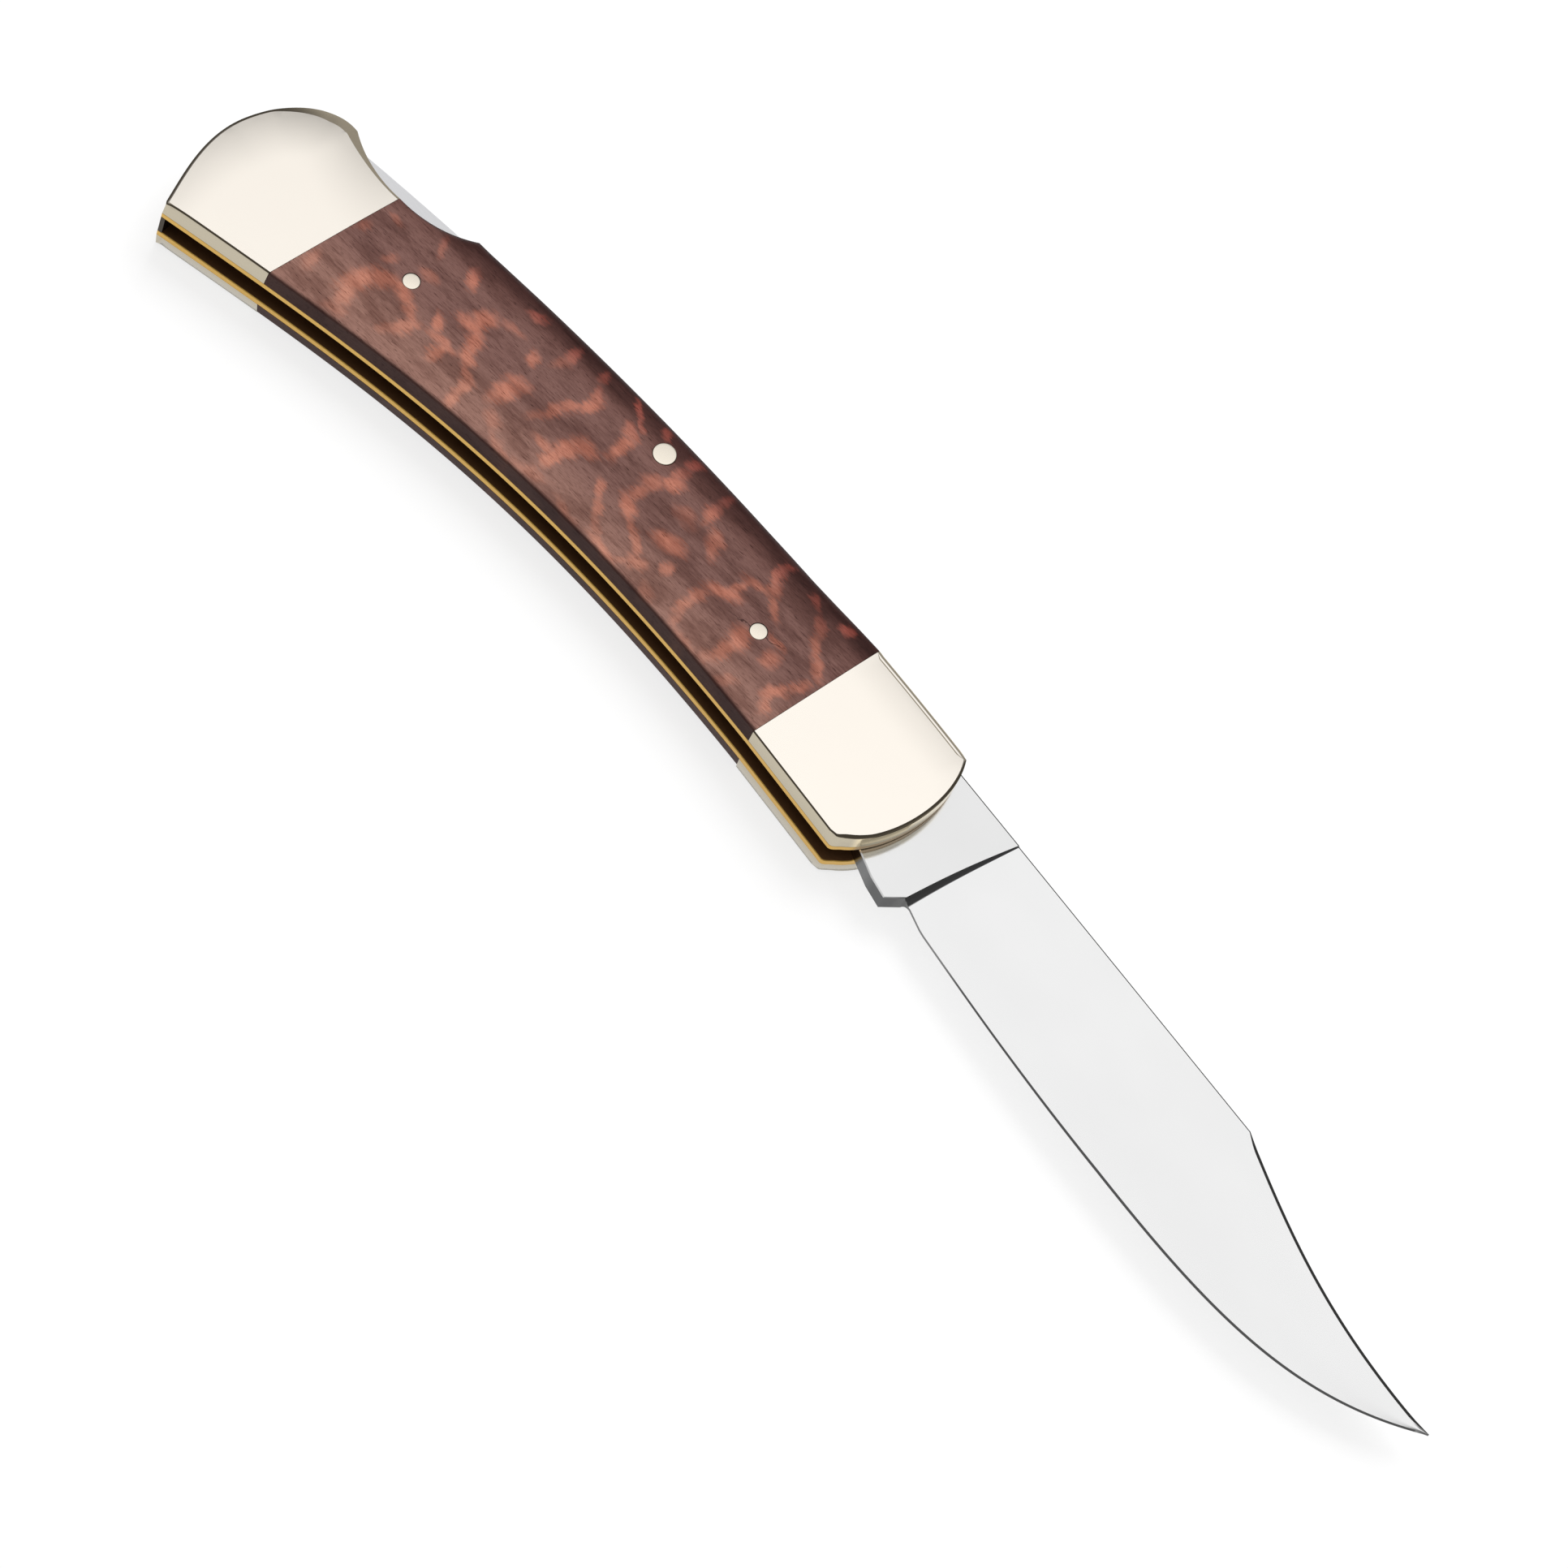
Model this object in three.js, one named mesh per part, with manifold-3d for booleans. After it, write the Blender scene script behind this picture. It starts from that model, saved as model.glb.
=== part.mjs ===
// Folding pocket knife with a back lock, open, lying on its left side. Millimetres, +Z up.
// The origin is on the blade's pivot axis, at the outer face of the left front bolster.
// +X runs along the blade to its tip, +Y points to the spine and +Z through the handle, from left to right.
import * as THREE from 'three';
import { mergeVertices } from 'three/addons/utils/BufferGeometryUtils.js';
import Module from 'manifold-3d';

const wasm = await Module();
wasm.setup();

// Stack across the handle
const coverThickness = 2.5; // bolsters and scales, each side
const linerThickness = 1.0;
const bladeThickness = 3.05;
const bladeSideGap = 0.15; // running gap between the blade and each liner
const springSideGap = 0.1;

// Handle outline, measured from the pivot axis
const handleFront = 11.7; // pivot to the foremost point of the front bolsters
const handleBack = 115.0; // pivot to the rearmost point of the butt
const frontSeam = 9.7; // pivot back to the seam between the front bolsters and the scales
const rearSeam = 94.6; // pivot back to the seam between the scales and the rear bolsters
const spineHeight = 11.6; // highest point of the spine over the pivot
const spineApex = 2.0; // pivot back to that highest point
const spineRadius = 490;
const bellyDepth = 9.75; // belly edge below the pivot at the front seam
const noseDepth = 10.1; // belly edge below the pivot at the front corner
const noseCorner = 7.2; // pivot forward to the front corner
const buttCornerBack = 109.8; // pivot back to the belly corner of the butt
const buttCornerDepth = 27.5;
const buttDepth = 12.5; // depth below the pivot at which the butt reaches furthest back
const notchRadius = 17.9; // thumb notch over the lock bar
const notchBack = 97.5; // pivot back to the notch's lowest point
const notchDepth = 1.1; // the notch's lowest point, below the pivot
const humpRise = 0.5; // hump of the butt over the line of the spine

// Free ends of the outline's curves, measured along the handle (run) and across it (rise)
const bellyRear = { run: 33, rise: 10.9 };
const bellyMiddle = 45;
const buttTop = { run: 6.6, rise: 0.1 };
const buttShoulder = 4.0;
const buttHeel = 5.5;
const buttFoot = { run: 2.3, rise: 4.6 };
const noseRound = { run: 1.1, rise: 1.2 };
const noseLow = { run: 0.6, y: -4.2 };
const noseHigh = { run: 0.7, y: 6.4 };
const noseTopReach = 8.3; // pivot forward to where the nose leaves the spine
const noseTopDrop = 0.2;
const noseTopRound = 1.2;

// Edges of the outer pieces
const wallSlope = 0.15; // the belly walls lean in by this share of their height
const bellyEdge = 0.15; // edge radius along the belly
const frontShoulder = 1.0; // rounded edge along the spine at the front seam
const woodShoulder = 2.4; // at mid scale
const rearShoulder = 0.4; // at the rear seam
const noseEdge = 0.6; // round the nose of the front bolsters
const humpEdge = 2.0; // on the hump of the butt
const buttEdge = 0.7; // round the rest of the butt
const edgeDrop = 0.6; // the rounded edges drop by this share of their width
const seamGap = 0.05;

// Blade, measured from the pivot axis
const bladeReach = 110.3; // pivot to the tip
const bladeSpine = 11.2;
const bladeEdge = 8.45; // deepest point of the cutting edge
const tipHeight = 4.3;
const clipStart = 67.0; // pivot to the corner where the clip begins
const bellyStart = 60.0; // pivot to where the edge starts to curve up
const plungeBottom = 18.0;
const plungeTop = 20.5;
const plungeWidth = 0.9;
const plungeFade = 20; // length over which the cross-sections straighten up after the plunge line
const choilHeight = 5.9;
const heelStart = 21.4; // pivot to the start of the cutting edge
const heelDepth = 6.7;
const kickReach = 16.4;
const kickDepth = 8.25;
const kickBend = { run: 3.1, rise: 0.45 }; // the underside of the tang bends this far behind the kick's corner
const tangTurn = -0.9; // angle at which the tang's lower edge leaves the round back
const grindSpine = 2.6; // blade thickness at the spine just ahead of the plunge line
const clipThickness = 2.3; // at the clip corner
const tipThickness = 0.5;
const edgeThickness = 0.5; // above the sharpened bevel
const edgeBevel = 0.9; // width of the sharpened bevel
const hollow = 0.78; // share of a flat grind's thickness that the hollow grind leaves
const spineChamfer = 0.2;
const clipChamfer = 0.55;
const edgeBelly = { run: 22.2, drop: 0.2 };
const edgePoint = { run: 13.1, rise: 1.1 };
const clipCorner = { run: 13.6, drop: 4.5 };
const clipPoint = { run: 18.1, drop: 0.9 };
const nickCentre = 42; // nail nick on the left face, pivot to its middle
const nickHeight = 8.2;
const nickLength = 15;
const nickWidth = 2.6;
const nickDepth = 0.6;

// Lock: a stop wall on the tang, and the nose of the lock bar
const stopWall = 4.5; // pivot back to the wall that meets the lock bar
const stopGap = 0.15;
const camRadius = 6.4; // round back of the tang
const noseLift = 5.0; // underside of the lock bar's nose over the pivot
const noseLength = 5.0;
const reliefHeight = 6.7; // relief behind the nose
const reliefLength = 5.2;
const kickLand = 5.4; // underside where the closed blade's kick comes to rest
const kickLandEnd = 21.0;
const bossDepth = 3.8; // lock bar below its pin's axis
const bossHalfLength = 5.5;
const bossRound = { run: 3.0, rise: 0.5 }; // cut corner behind the boss
const bossRise = 0.4; // the boss is this much shallower at its front
const armBlend = 5.0; // the rear arm starts this far behind the boss
const noseSlope = 1.0;
const armDepth = 4.9; // depth of the rear arm
const armEndDepth = 4.2;
const lockBarInset = 0.1; // its top lies this far below the spine of the liners
const barEnd = 105.9; // pivot back to the lock bar's rear end
const barEndGap = 0.4;

// Pins and rivets: distance back from the pivot, depth below the line of the spine, radius
const pivotRadius = 2.4;
const lockPinPlace = { back: 46.7, drop: 4.2, radius: 1.59 };
const frontRivetPlace = { back: 20.3, drop: 11.45, radius: 1.19 };
const rearRivetPlace = { back: 84.0, drop: 11.9, radius: 1.19 };
const springPinPlace = { back: 109.6, drop: 8.55, radius: 0.95 };
const buttPinPlace = { back: 111.2, drop: 16.8, radius: 0.95 };
const pinFit = 0.03; // radial gap of the fixed pins in their holes
const pivotFit = 0.05; // radial gap of what turns on a pin
const blindDepth = 1.8; // hidden pins reach this far into the bolsters
const pinEndGap = 0.05;

// Back spring and butt spacer
const springThickness = 1.3;
const springTip = 71.5; // pivot back to the spring's free tip
const springTouch = 0.1; // gap under the lock bar at rest
const springMiddle = 92.0; // pivot back to the leaf's middle control point
const springBow = 9.4; // depth of that point below the pivot
const eyeRadius = 1.9;
const eyeGap = 0.15;
const seatReach = 1.2; // the spacer's seat under the eye reaches this far past the eye
const seatDepth = 3.2; // depth of the seat's end below the eye's axis
const seatGap = 0.4; // room for the leaf under the eye
const hornDrop = 0.6; // the horn over the eye ends this far below the eye's top
const spacerWall = 4.4; // wall of the spacer at the butt's middle
const spacerMiddle = 18.0; // depth of the middle below the pivot
const spacerFoot = 0.6; // what is left of it at the belly corner

// Heights of the layers
const leftLinerZ = coverThickness;
const slotZ = leftLinerZ + linerThickness;
const slotWidth = bladeThickness + 2 * bladeSideGap;
const rightLinerZ = slotZ + slotWidth;
const rightCoverZ = rightLinerZ + linerThickness;
const handleThickness = rightCoverZ + coverThickness;
const middleZ = handleThickness / 2;

const ringSteps = 4; // steps round each rounded edge
const pinSides = 24;

const materials = {
  steel: new THREE.MeshStandardMaterial({ color: 0xdedfe1, roughness: 0.28, metalness: 1 }),
  springSteel: new THREE.MeshStandardMaterial({ color: 0xa9abae, roughness: 0.4, metalness: 1 }),
  nickelSilver: new THREE.MeshStandardMaterial({ color: 0xe9e2d0, roughness: 0.12, metalness: 1 }),
  brass: new THREE.MeshStandardMaterial({ color: 0xd0a552, roughness: 0.3, metalness: 1 }),
  wood: new THREE.MeshStandardMaterial({ color: 0x6b3f35, roughness: 0.35, metalness: 0 }),
};

// Solids: closed geometry in, closed geometry out

function toSolid(geometry) {
  const bare = geometry.clone();
  bare.deleteAttribute('normal');
  bare.deleteAttribute('uv');
  const merged = mergeVertices(bare, 1e-5);
  return new wasm.Manifold(new wasm.Mesh({
    numProp: 3,
    vertProperties: new Float32Array(merged.attributes.position.array),
    triVerts: new Uint32Array(merged.index.array),
  }));
}

function toGeometry(solid) {
  const mesh = solid.getMesh();
  const geometry = new THREE.BufferGeometry();
  geometry.setAttribute('position', new THREE.BufferAttribute(new Float32Array(mesh.vertProperties), 3));
  geometry.setIndex(new THREE.BufferAttribute(new Uint32Array(mesh.triVerts), 1));
  geometry.computeVertexNormals();
  return geometry;
}

function extrude(shape, low, thickness, curveSegments = 24) {
  const geometry = new THREE.ExtrudeGeometry(shape, { depth: thickness, bevelEnabled: false, curveSegments });
  return geometry.translate(0, 0, low);
}

function pinGeometry(pin, low, high, extraRadius = 0) {
  const radius = pin.radius + extraRadius;
  const geometry = new THREE.CylinderGeometry(radius, radius, high - low, pinSides);
  return geometry.rotateX(Math.PI / 2).translate(pin.x, pin.y, (low + high) / 2);
}

function drill(geometry, holes) {
  let solid = toSolid(geometry);
  for (const hole of holes) {
    solid = solid.subtract(toSolid(hole));
  }
  return toGeometry(solid);
}

// Mirror a piece of the right side to the left side
function toLeftSide(geometry) {
  const mirrored = geometry.clone();
  const position = mirrored.attributes.position;
  for (let i = 0; i < position.count; i += 1) {
    position.setZ(i, handleThickness - position.getZ(i));
  }
  const index = mirrored.index;
  for (let i = 0; i < index.count; i += 3) {
    const second = index.getX(i + 1);
    index.setX(i + 1, index.getX(i + 2));
    index.setX(i + 2, second);
  }
  mirrored.computeVertexNormals();
  return mirrored;
}

// Outline of the handle

const spineCentre = { x: -spineApex, y: spineHeight - spineRadius };
const notchCentre = { x: -notchBack, y: notchRadius - notchDepth };

function arcTop(x) {
  return spineCentre.y + Math.sqrt(spineRadius ** 2 - (x - spineCentre.x) ** 2);
}

function placePin(place) {
  return { x: -place.back, y: arcTop(-place.back) - place.drop, radius: place.radius };
}

const pivotPin = { x: 0, y: 0, radius: pivotRadius };
const lockPin = placePin(lockPinPlace);
const frontRivet = placePin(frontRivetPlace);
const rearRivet = placePin(rearRivetPlace);
const springPin = placePin(springPinPlace);
const buttPin = placePin(buttPinPlace);

function notchFloor(x) {
  const run = notchRadius ** 2 - (x - notchCentre.x) ** 2;
  return run > 0 ? notchCentre.y - Math.sqrt(run) : Infinity;
}

// Value between two bounds at which a rising test turns from false to true
function findTurn(low, high, test) {
  let before = low;
  let after = high;
  for (let i = 0; i < 40; i += 1) {
    const middle = (before + after) / 2;
    if (test(middle)) after = middle;
    else before = middle;
  }
  return before;
}

// Height of a curve at x; the curve runs one way in x
function yOnCurve(curve, x) {
  const forward = curve.getPoint(1).x > curve.getPoint(0).x;
  const t = findTurn(0, 1, (value) => (curve.getPoint(value).x > x) === forward);
  return curve.getPoint(t).y;
}

const notchFront = notchCentre.x + findTurn(0, notchRadius, (run) => (
  notchFloor(notchCentre.x + run) > arcTop(notchCentre.x + run)));
const notchRear = notchCentre.x - findTurn(0, notchRadius, (run) => (
  notchFloor(notchCentre.x - run) > arcTop(notchCentre.x - run) + humpRise));

function spineTop(x) {
  return x < notchFront ? notchFloor(x) : arcTop(x);
}

const buttCorner = new THREE.Vector2(-buttCornerBack, -buttCornerDepth);
const bellyFront = new THREE.Vector2(-frontSeam, -bellyDepth);
const buttBack = new THREE.Vector2(-handleBack, -buttDepth);
const hump = new THREE.Vector2(notchRear, notchFloor(notchRear));

const bellyCurve = new THREE.CubicBezierCurve(
  buttCorner,
  new THREE.Vector2(buttCorner.x + bellyRear.run, buttCorner.y + bellyRear.rise),
  new THREE.Vector2(bellyFront.x - bellyMiddle, bellyFront.y),
  bellyFront,
);

const buttUpper = new THREE.CubicBezierCurve(
  hump,
  new THREE.Vector2(hump.x - buttTop.run, hump.y + buttTop.rise),
  new THREE.Vector2(buttBack.x, buttBack.y + buttShoulder),
  buttBack,
);

const buttLower = new THREE.CubicBezierCurve(
  buttBack,
  new THREE.Vector2(buttBack.x, buttBack.y - buttHeel),
  new THREE.Vector2(buttCorner.x - buttFoot.run, buttCorner.y + buttFoot.rise),
  buttCorner,
);

const noseBottom = new THREE.Vector2(noseCorner, -noseDepth);
const noseTop = new THREE.Vector2(noseTopReach, arcTop(noseTopReach) - noseTopDrop);
const noseCurve = new THREE.CubicBezierCurve(
  new THREE.Vector2(noseCorner + noseRound.run, -noseDepth + noseRound.rise),
  new THREE.Vector2(handleFront + noseLow.run, noseLow.y),
  new THREE.Vector2(handleFront + noseHigh.run, noseHigh.y),
  noseTop,
);

// A vertex of an outline: its place, the width of its rounded outer edge and how far its wall leans in
function vertex(x, y, edge, leans = 0, onSeam = false) {
  return { x, y, edge, leans, onSeam };
}

function ramp(start, end, t) {
  return start + (end - start) * t;
}

function bellyRun(from, to, steps, edge = bellyEdge) {
  const run = [];
  for (let i = 0; i <= steps; i += 1) {
    const x = ramp(from, to, i / steps);
    run.push(vertex(x, yOnCurve(bellyCurve, x), edge, 1));
  }
  return run;
}

function spineRun(from, to, steps, edgeAt) {
  const run = [];
  for (let i = 0; i <= steps; i += 1) {
    const x = ramp(from, to, i / steps);
    run.push(vertex(x, spineTop(x), edgeAt(x)));
  }
  return run;
}

function markSeam(run, first, last) {
  if (first) run[0].onSeam = true;
  if (last) run[run.length - 1].onSeam = true;
  return run;
}

function noseRun() {
  const run = [vertex(noseBottom.x, noseBottom.y, bellyEdge, 1)];
  noseCurve.getPoints(9).forEach((point, i) => {
    run.push(vertex(point.x, point.y, noseEdge, i === 0 ? 0.5 : 0));
  });
  return run;
}

function buttRun() {
  const run = [];
  buttUpper.getPoints(8).forEach((point, i) => {
    run.push(vertex(point.x, point.y, ramp(humpEdge, buttEdge, Math.min(1, i / 6))));
  });
  buttLower.getPoints(6).slice(1).forEach((point, i) => {
    run.push(vertex(point.x, point.y, buttEdge, i === 5 ? 0.5 : 0));
  });
  return run;
}

// Each outline runs anticlockwise, seen from above

function frontBolsterOutline() {
  const back = -frontSeam + seamGap / 2;
  const belly = markSeam([vertex(back, -bellyDepth, bellyEdge, 1)], true, false);
  const top = markSeam(spineRun(noseTop.x - noseTopRound, back, 5, () => frontShoulder), false, true);
  return [...belly, ...noseRun(), ...top];
}

function scaleOutline() {
  const back = -rearSeam + seamGap / 2;
  const front = -frontSeam - seamGap / 2;
  const shoulder = (x) => {
    const t = (x - back) / (front - back);
    const seam = ramp(rearShoulder, frontShoulder, t);
    return ramp(seam, woodShoulder, Math.min(1, 2.2 * Math.sin(Math.PI * t)));
  };
  const belly = markSeam(bellyRun(back, front, 16), true, true);
  const spine = markSeam(spineRun(front, notchFront, 14, shoulder), true, false);
  const notch = markSeam(spineRun(notchFront, back, 6, shoulder).slice(1), false, true);
  return [...belly, ...spine, ...notch];
}

function rearBolsterOutline() {
  const front = -rearSeam - seamGap / 2;
  const belly = markSeam(bellyRun(buttCorner.x, front, 4), false, true);
  const edge = (x) => ramp(rearShoulder, humpEdge, ((front - x) / (front - hump.x)) ** 2);
  const notch = markSeam(spineRun(front, hump.x, 7, edge), true, false);
  return [...belly.slice(1), ...notch, ...buttRun().slice(1)];
}

function handleOutline() {
  return [
    ...bellyRun(buttCorner.x, -frontSeam, 20).slice(1),
    ...noseRun(),
    ...spineRun(noseTop.x - noseTopRound, notchFront, 18, () => 0),
    ...spineRun(notchFront, hump.x, 12, () => 0).slice(1),
    ...buttRun().slice(1),
  ];
}

function shapeOf(points, holes = []) {
  const shape = new THREE.Shape(points.map((point) => new THREE.Vector2(point.x, point.y)));
  for (const hole of holes) {
    shape.holes.push(new THREE.Path().absarc(hole.x, hole.y, hole.radius, 0, 2 * Math.PI, true));
  }
  return shape;
}

// Inward direction of each vertex; on a seam it runs along the seam, so that neighbours stay flush
function inwardSteps(outline) {
  return outline.map((point, i) => {
    const before = outline[(i + outline.length - 1) % outline.length];
    const after = outline[(i + 1) % outline.length];
    if (point.onSeam) {
      const other = Math.abs(before.x - point.x) < 1e-6 ? after : before;
      const edge = new THREE.Vector2(other.x - point.x, other.y - point.y).normalize();
      return new THREE.Vector2(0, (point.leans ? 1 : -1) / Math.abs(edge.x));
    }
    const a = new THREE.Vector2(point.x - before.x, point.y - before.y).normalize();
    const b = new THREE.Vector2(after.x - point.x, after.y - point.y).normalize();
    const normal = new THREE.Vector2(-(a.y + b.y), a.x + b.x).normalize();
    return normal.divideScalar(Math.max(0.5, -a.y * normal.x + a.x * normal.y));
  });
}

// A plate whose outer edge is rounded, with a width of its own at each vertex
function roundedPlate(outline, thickness, low) {
  const inward = inwardSteps(outline);
  const count = outline.length;
  const rings = [];
  for (let ring = -1; ring <= ringSteps; ring += 1) {
    const angle = (Math.PI / 2) * (Math.max(ring, 0) / ringSteps);
    rings.push(outline.map((point, i) => {
      const height = ring < 0 ? 0 : thickness - point.edge * edgeDrop * (1 - Math.sin(angle));
      const inset = (ring < 0 ? 0 : point.edge * (1 - Math.cos(angle))) + point.leans * wallSlope * height;
      return new THREE.Vector3(point.x + inward[i].x * inset, point.y + inward[i].y * inset, low + height);
    }));
  }
  const triangles = [];
  for (let ring = 0; ring + 1 < rings.length; ring += 1) {
    for (let i = 0; i < count; i += 1) {
      const a = ring * count + i;
      const b = ring * count + ((i + 1) % count);
      triangles.push(a, b, b + count, a, b + count, a + count);
    }
  }
  const lastRing = (rings.length - 1) * count;
  const flat = (ring) => ring.map((point) => new THREE.Vector2(point.x, point.y));
  THREE.ShapeUtils.triangulateShape(flat(rings[0]), []).forEach(([a, b, c]) => triangles.push(a, c, b));
  THREE.ShapeUtils.triangulateShape(flat(rings[rings.length - 1]), [])
    .forEach(([a, b, c]) => triangles.push(lastRing + a, lastRing + b, lastRing + c));
  const geometry = new THREE.BufferGeometry().setFromPoints(rings.flat());
  geometry.setIndex(triangles);
  return geometry;
}

// Outer pieces of the right side

function frontBolster() {
  const plate = roundedPlate(frontBolsterOutline(), coverThickness, rightCoverZ);
  return drill(plate, [pinGeometry(pivotPin, rightCoverZ - 1, rightCoverZ + blindDepth + pinEndGap, pinFit)]);
}

function rearBolster() {
  const plate = roundedPlate(rearBolsterOutline(), coverThickness, rightCoverZ);
  return drill(plate, [springPin, buttPin].map((pin) => (
    pinGeometry(pin, rightCoverZ - 1, rightCoverZ + blindDepth + pinEndGap, pinFit))));
}

function scale() {
  const plate = roundedPlate(scaleOutline(), coverThickness, rightCoverZ);
  return drill(plate, [lockPin, frontRivet, rearRivet].map((pin) => (
    pinGeometry(pin, rightCoverZ - 1, handleThickness + 1, pinFit))));
}

function liner() {
  const pins = [pivotPin, lockPin, frontRivet, rearRivet, springPin, buttPin];
  return drill(extrude(shapeOf(handleOutline()), rightLinerZ, linerThickness), pins.map((pin) => (
    pinGeometry(pin, rightLinerZ - 1, rightCoverZ + 1, pinFit))));
}

// Blade

const edgeCurve = new THREE.CubicBezierCurve(
  new THREE.Vector2(bellyStart, -bladeEdge),
  new THREE.Vector2(bellyStart + edgeBelly.run, -bladeEdge - edgeBelly.drop),
  new THREE.Vector2(bladeReach - edgePoint.run, -bladeEdge + edgePoint.rise),
  new THREE.Vector2(bladeReach, tipHeight),
);

const clipCurve = new THREE.CubicBezierCurve(
  new THREE.Vector2(clipStart, bladeSpine),
  new THREE.Vector2(clipStart + clipCorner.run, bladeSpine - clipCorner.drop),
  new THREE.Vector2(bladeReach - clipPoint.run, tipHeight - clipPoint.drop),
  new THREE.Vector2(bladeReach, tipHeight),
);

function bladeTopY(x) {
  return x <= clipStart ? bladeSpine : yOnCurve(clipCurve, x);
}

function bladeBottomY(x) {
  if (x < heelStart) {
    const t = (x - plungeBottom) / (heelStart - plungeBottom);
    return ramp(-choilHeight, -heelDepth, Math.max(0, t));
  }
  if (x < bellyStart) {
    const t = (x - heelStart) / (bellyStart - heelStart);
    return ramp(-heelDepth, -bladeEdge, Math.sin((t * Math.PI) / 2));
  }
  return yOnCurve(edgeCurve, x);
}

// Half thickness at the top of the grind
function grindHalf(x) {
  if (x <= clipStart) return ramp(grindSpine, clipThickness, (x - plungeTop) / (clipStart - plungeTop)) / 2;
  return ramp(clipThickness, tipThickness, (x - clipStart) / (bladeReach - clipStart)) / 2;
}

// One cross-section of the ground blade: down the right face, round the edge and up the left face
function bladeSection(bottomX, topX, full) {
  const top = bladeTopY(topX);
  const bottom = Math.min(bladeBottomY(bottomX), top - 0.15);
  const height = top - bottom;
  const half = full ? bladeThickness / 2 : grindHalf(topX);
  const chamfer = Math.min(full ? spineChamfer : ramp(spineChamfer, clipChamfer, topX > clipStart ? 1 : 0),
    height / 4, half * 0.7);
  const bevel = Math.min(edgeBevel, height / 4);
  const shoulder = Math.min(edgeThickness / 2, half);
  const at = (down) => {
    const share = down / (height - bevel);
    const flat = ramp(half, shoulder, share);
    const bite = 1 - (1 - hollow) * Math.sin(Math.PI * Math.min(1, share));
    return full ? half : flat * bite;
  };
  const profile = [
    [0, half - chamfer],
    [chamfer, at(chamfer)],
    [height * 0.3, at(height * 0.3)],
    [height * 0.6, at(height * 0.6)],
    [height - bevel, full ? half : shoulder],
    [height, full ? half : 0.04],
  ];
  const place = ([down, z]) => {
    const share = down / height;
    return new THREE.Vector3(ramp(topX, bottomX, share), top - down, middleZ + z);
  };
  const right = profile.map(place);
  const left = profile.map(([down, z]) => place([down, -z])).reverse();
  return [...right, ...left];
}

function groundBlade() {
  const lean = plungeTop - plungeBottom;
  const sections = [-0.5, 0].map((step) => bladeSection(plungeBottom + step, plungeTop + step, true));
  const places = [plungeBottom + plungeWidth];
  for (let i = 0; i <= 5; i += 1) places.push(ramp(heelStart, bellyStart, i / 5));
  places.push(clipStart - 0.01);
  for (let i = 1; i < 14; i += 1) places.push(ramp(clipStart, bladeReach, i / 14));
  places.push(bladeReach - 1, bladeReach - 0.1);
  places.forEach((x) => {
    const shift = lean * Math.max(0, 1 - (x - plungeBottom) / plungeFade);
    sections.push(bladeSection(x, x + shift, false));
  });
  const count = sections[0].length;
  const triangles = [];
  for (let s = 0; s + 1 < sections.length; s += 1) {
    for (let i = 0; i < count; i += 1) {
      const a = s * count + i;
      const b = s * count + ((i + 1) % count);
      triangles.push(a, b, b + count, a, b + count, a + count);
    }
  }
  const half = count / 2;
  const endFan = (base, flip) => {
    for (let i = 0; i + 1 < half; i += 1) {
      const a = base + i;
      const b = base + i + 1;
      const c = base + count - 2 - i;
      const d = base + count - 1 - i;
      if (flip) triangles.push(a, c, b, a, d, c);
      else triangles.push(a, b, c, a, c, d);
    }
  };
  endFan(0, true);
  endFan((sections.length - 1) * count, false);
  const geometry = new THREE.BufferGeometry().setFromPoints(sections.flat());
  geometry.setIndex(triangles);
  return geometry;
}

function tang() {
  const shape = new THREE.Shape();
  const camStart = Math.atan2(Math.sqrt(camRadius ** 2 - stopWall ** 2), -stopWall);
  shape.moveTo(plungeTop, bladeSpine);
  shape.lineTo(-stopWall, bladeSpine);
  shape.absarc(0, 0, camRadius, camStart, tangTurn + 2 * Math.PI, false);
  shape.lineTo(kickReach - kickBend.run, -kickDepth + kickBend.rise);
  shape.lineTo(kickReach, -kickDepth);
  shape.lineTo(plungeBottom, -choilHeight);
  return extrude(shape, middleZ - bladeThickness / 2, bladeThickness);
}

function nailNick() {
  const nick = new THREE.SphereGeometry(1, 20, 10);
  nick.scale(nickLength / 2, nickWidth / 2, nickDepth);
  return nick.translate(nickCentre, nickHeight, middleZ - grindHalf(nickCentre) * 0.94);
}

function blade() {
  const body = toSolid(groundBlade()).add(toSolid(tang()));
  const hole = pinGeometry(pivotPin, slotZ - 1, rightLinerZ + 1, pivotFit);
  return toGeometry(body.subtract(toSolid(hole)).subtract(toSolid(nailNick())));
}

// Lock bar, back spring and butt spacer

function armUnderside(x) {
  const t = (-springTip - x) / (barEnd - springTip);
  return arcTop(x) - lockBarInset - ramp(armDepth, armEndDepth, Math.max(0, t));
}

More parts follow.
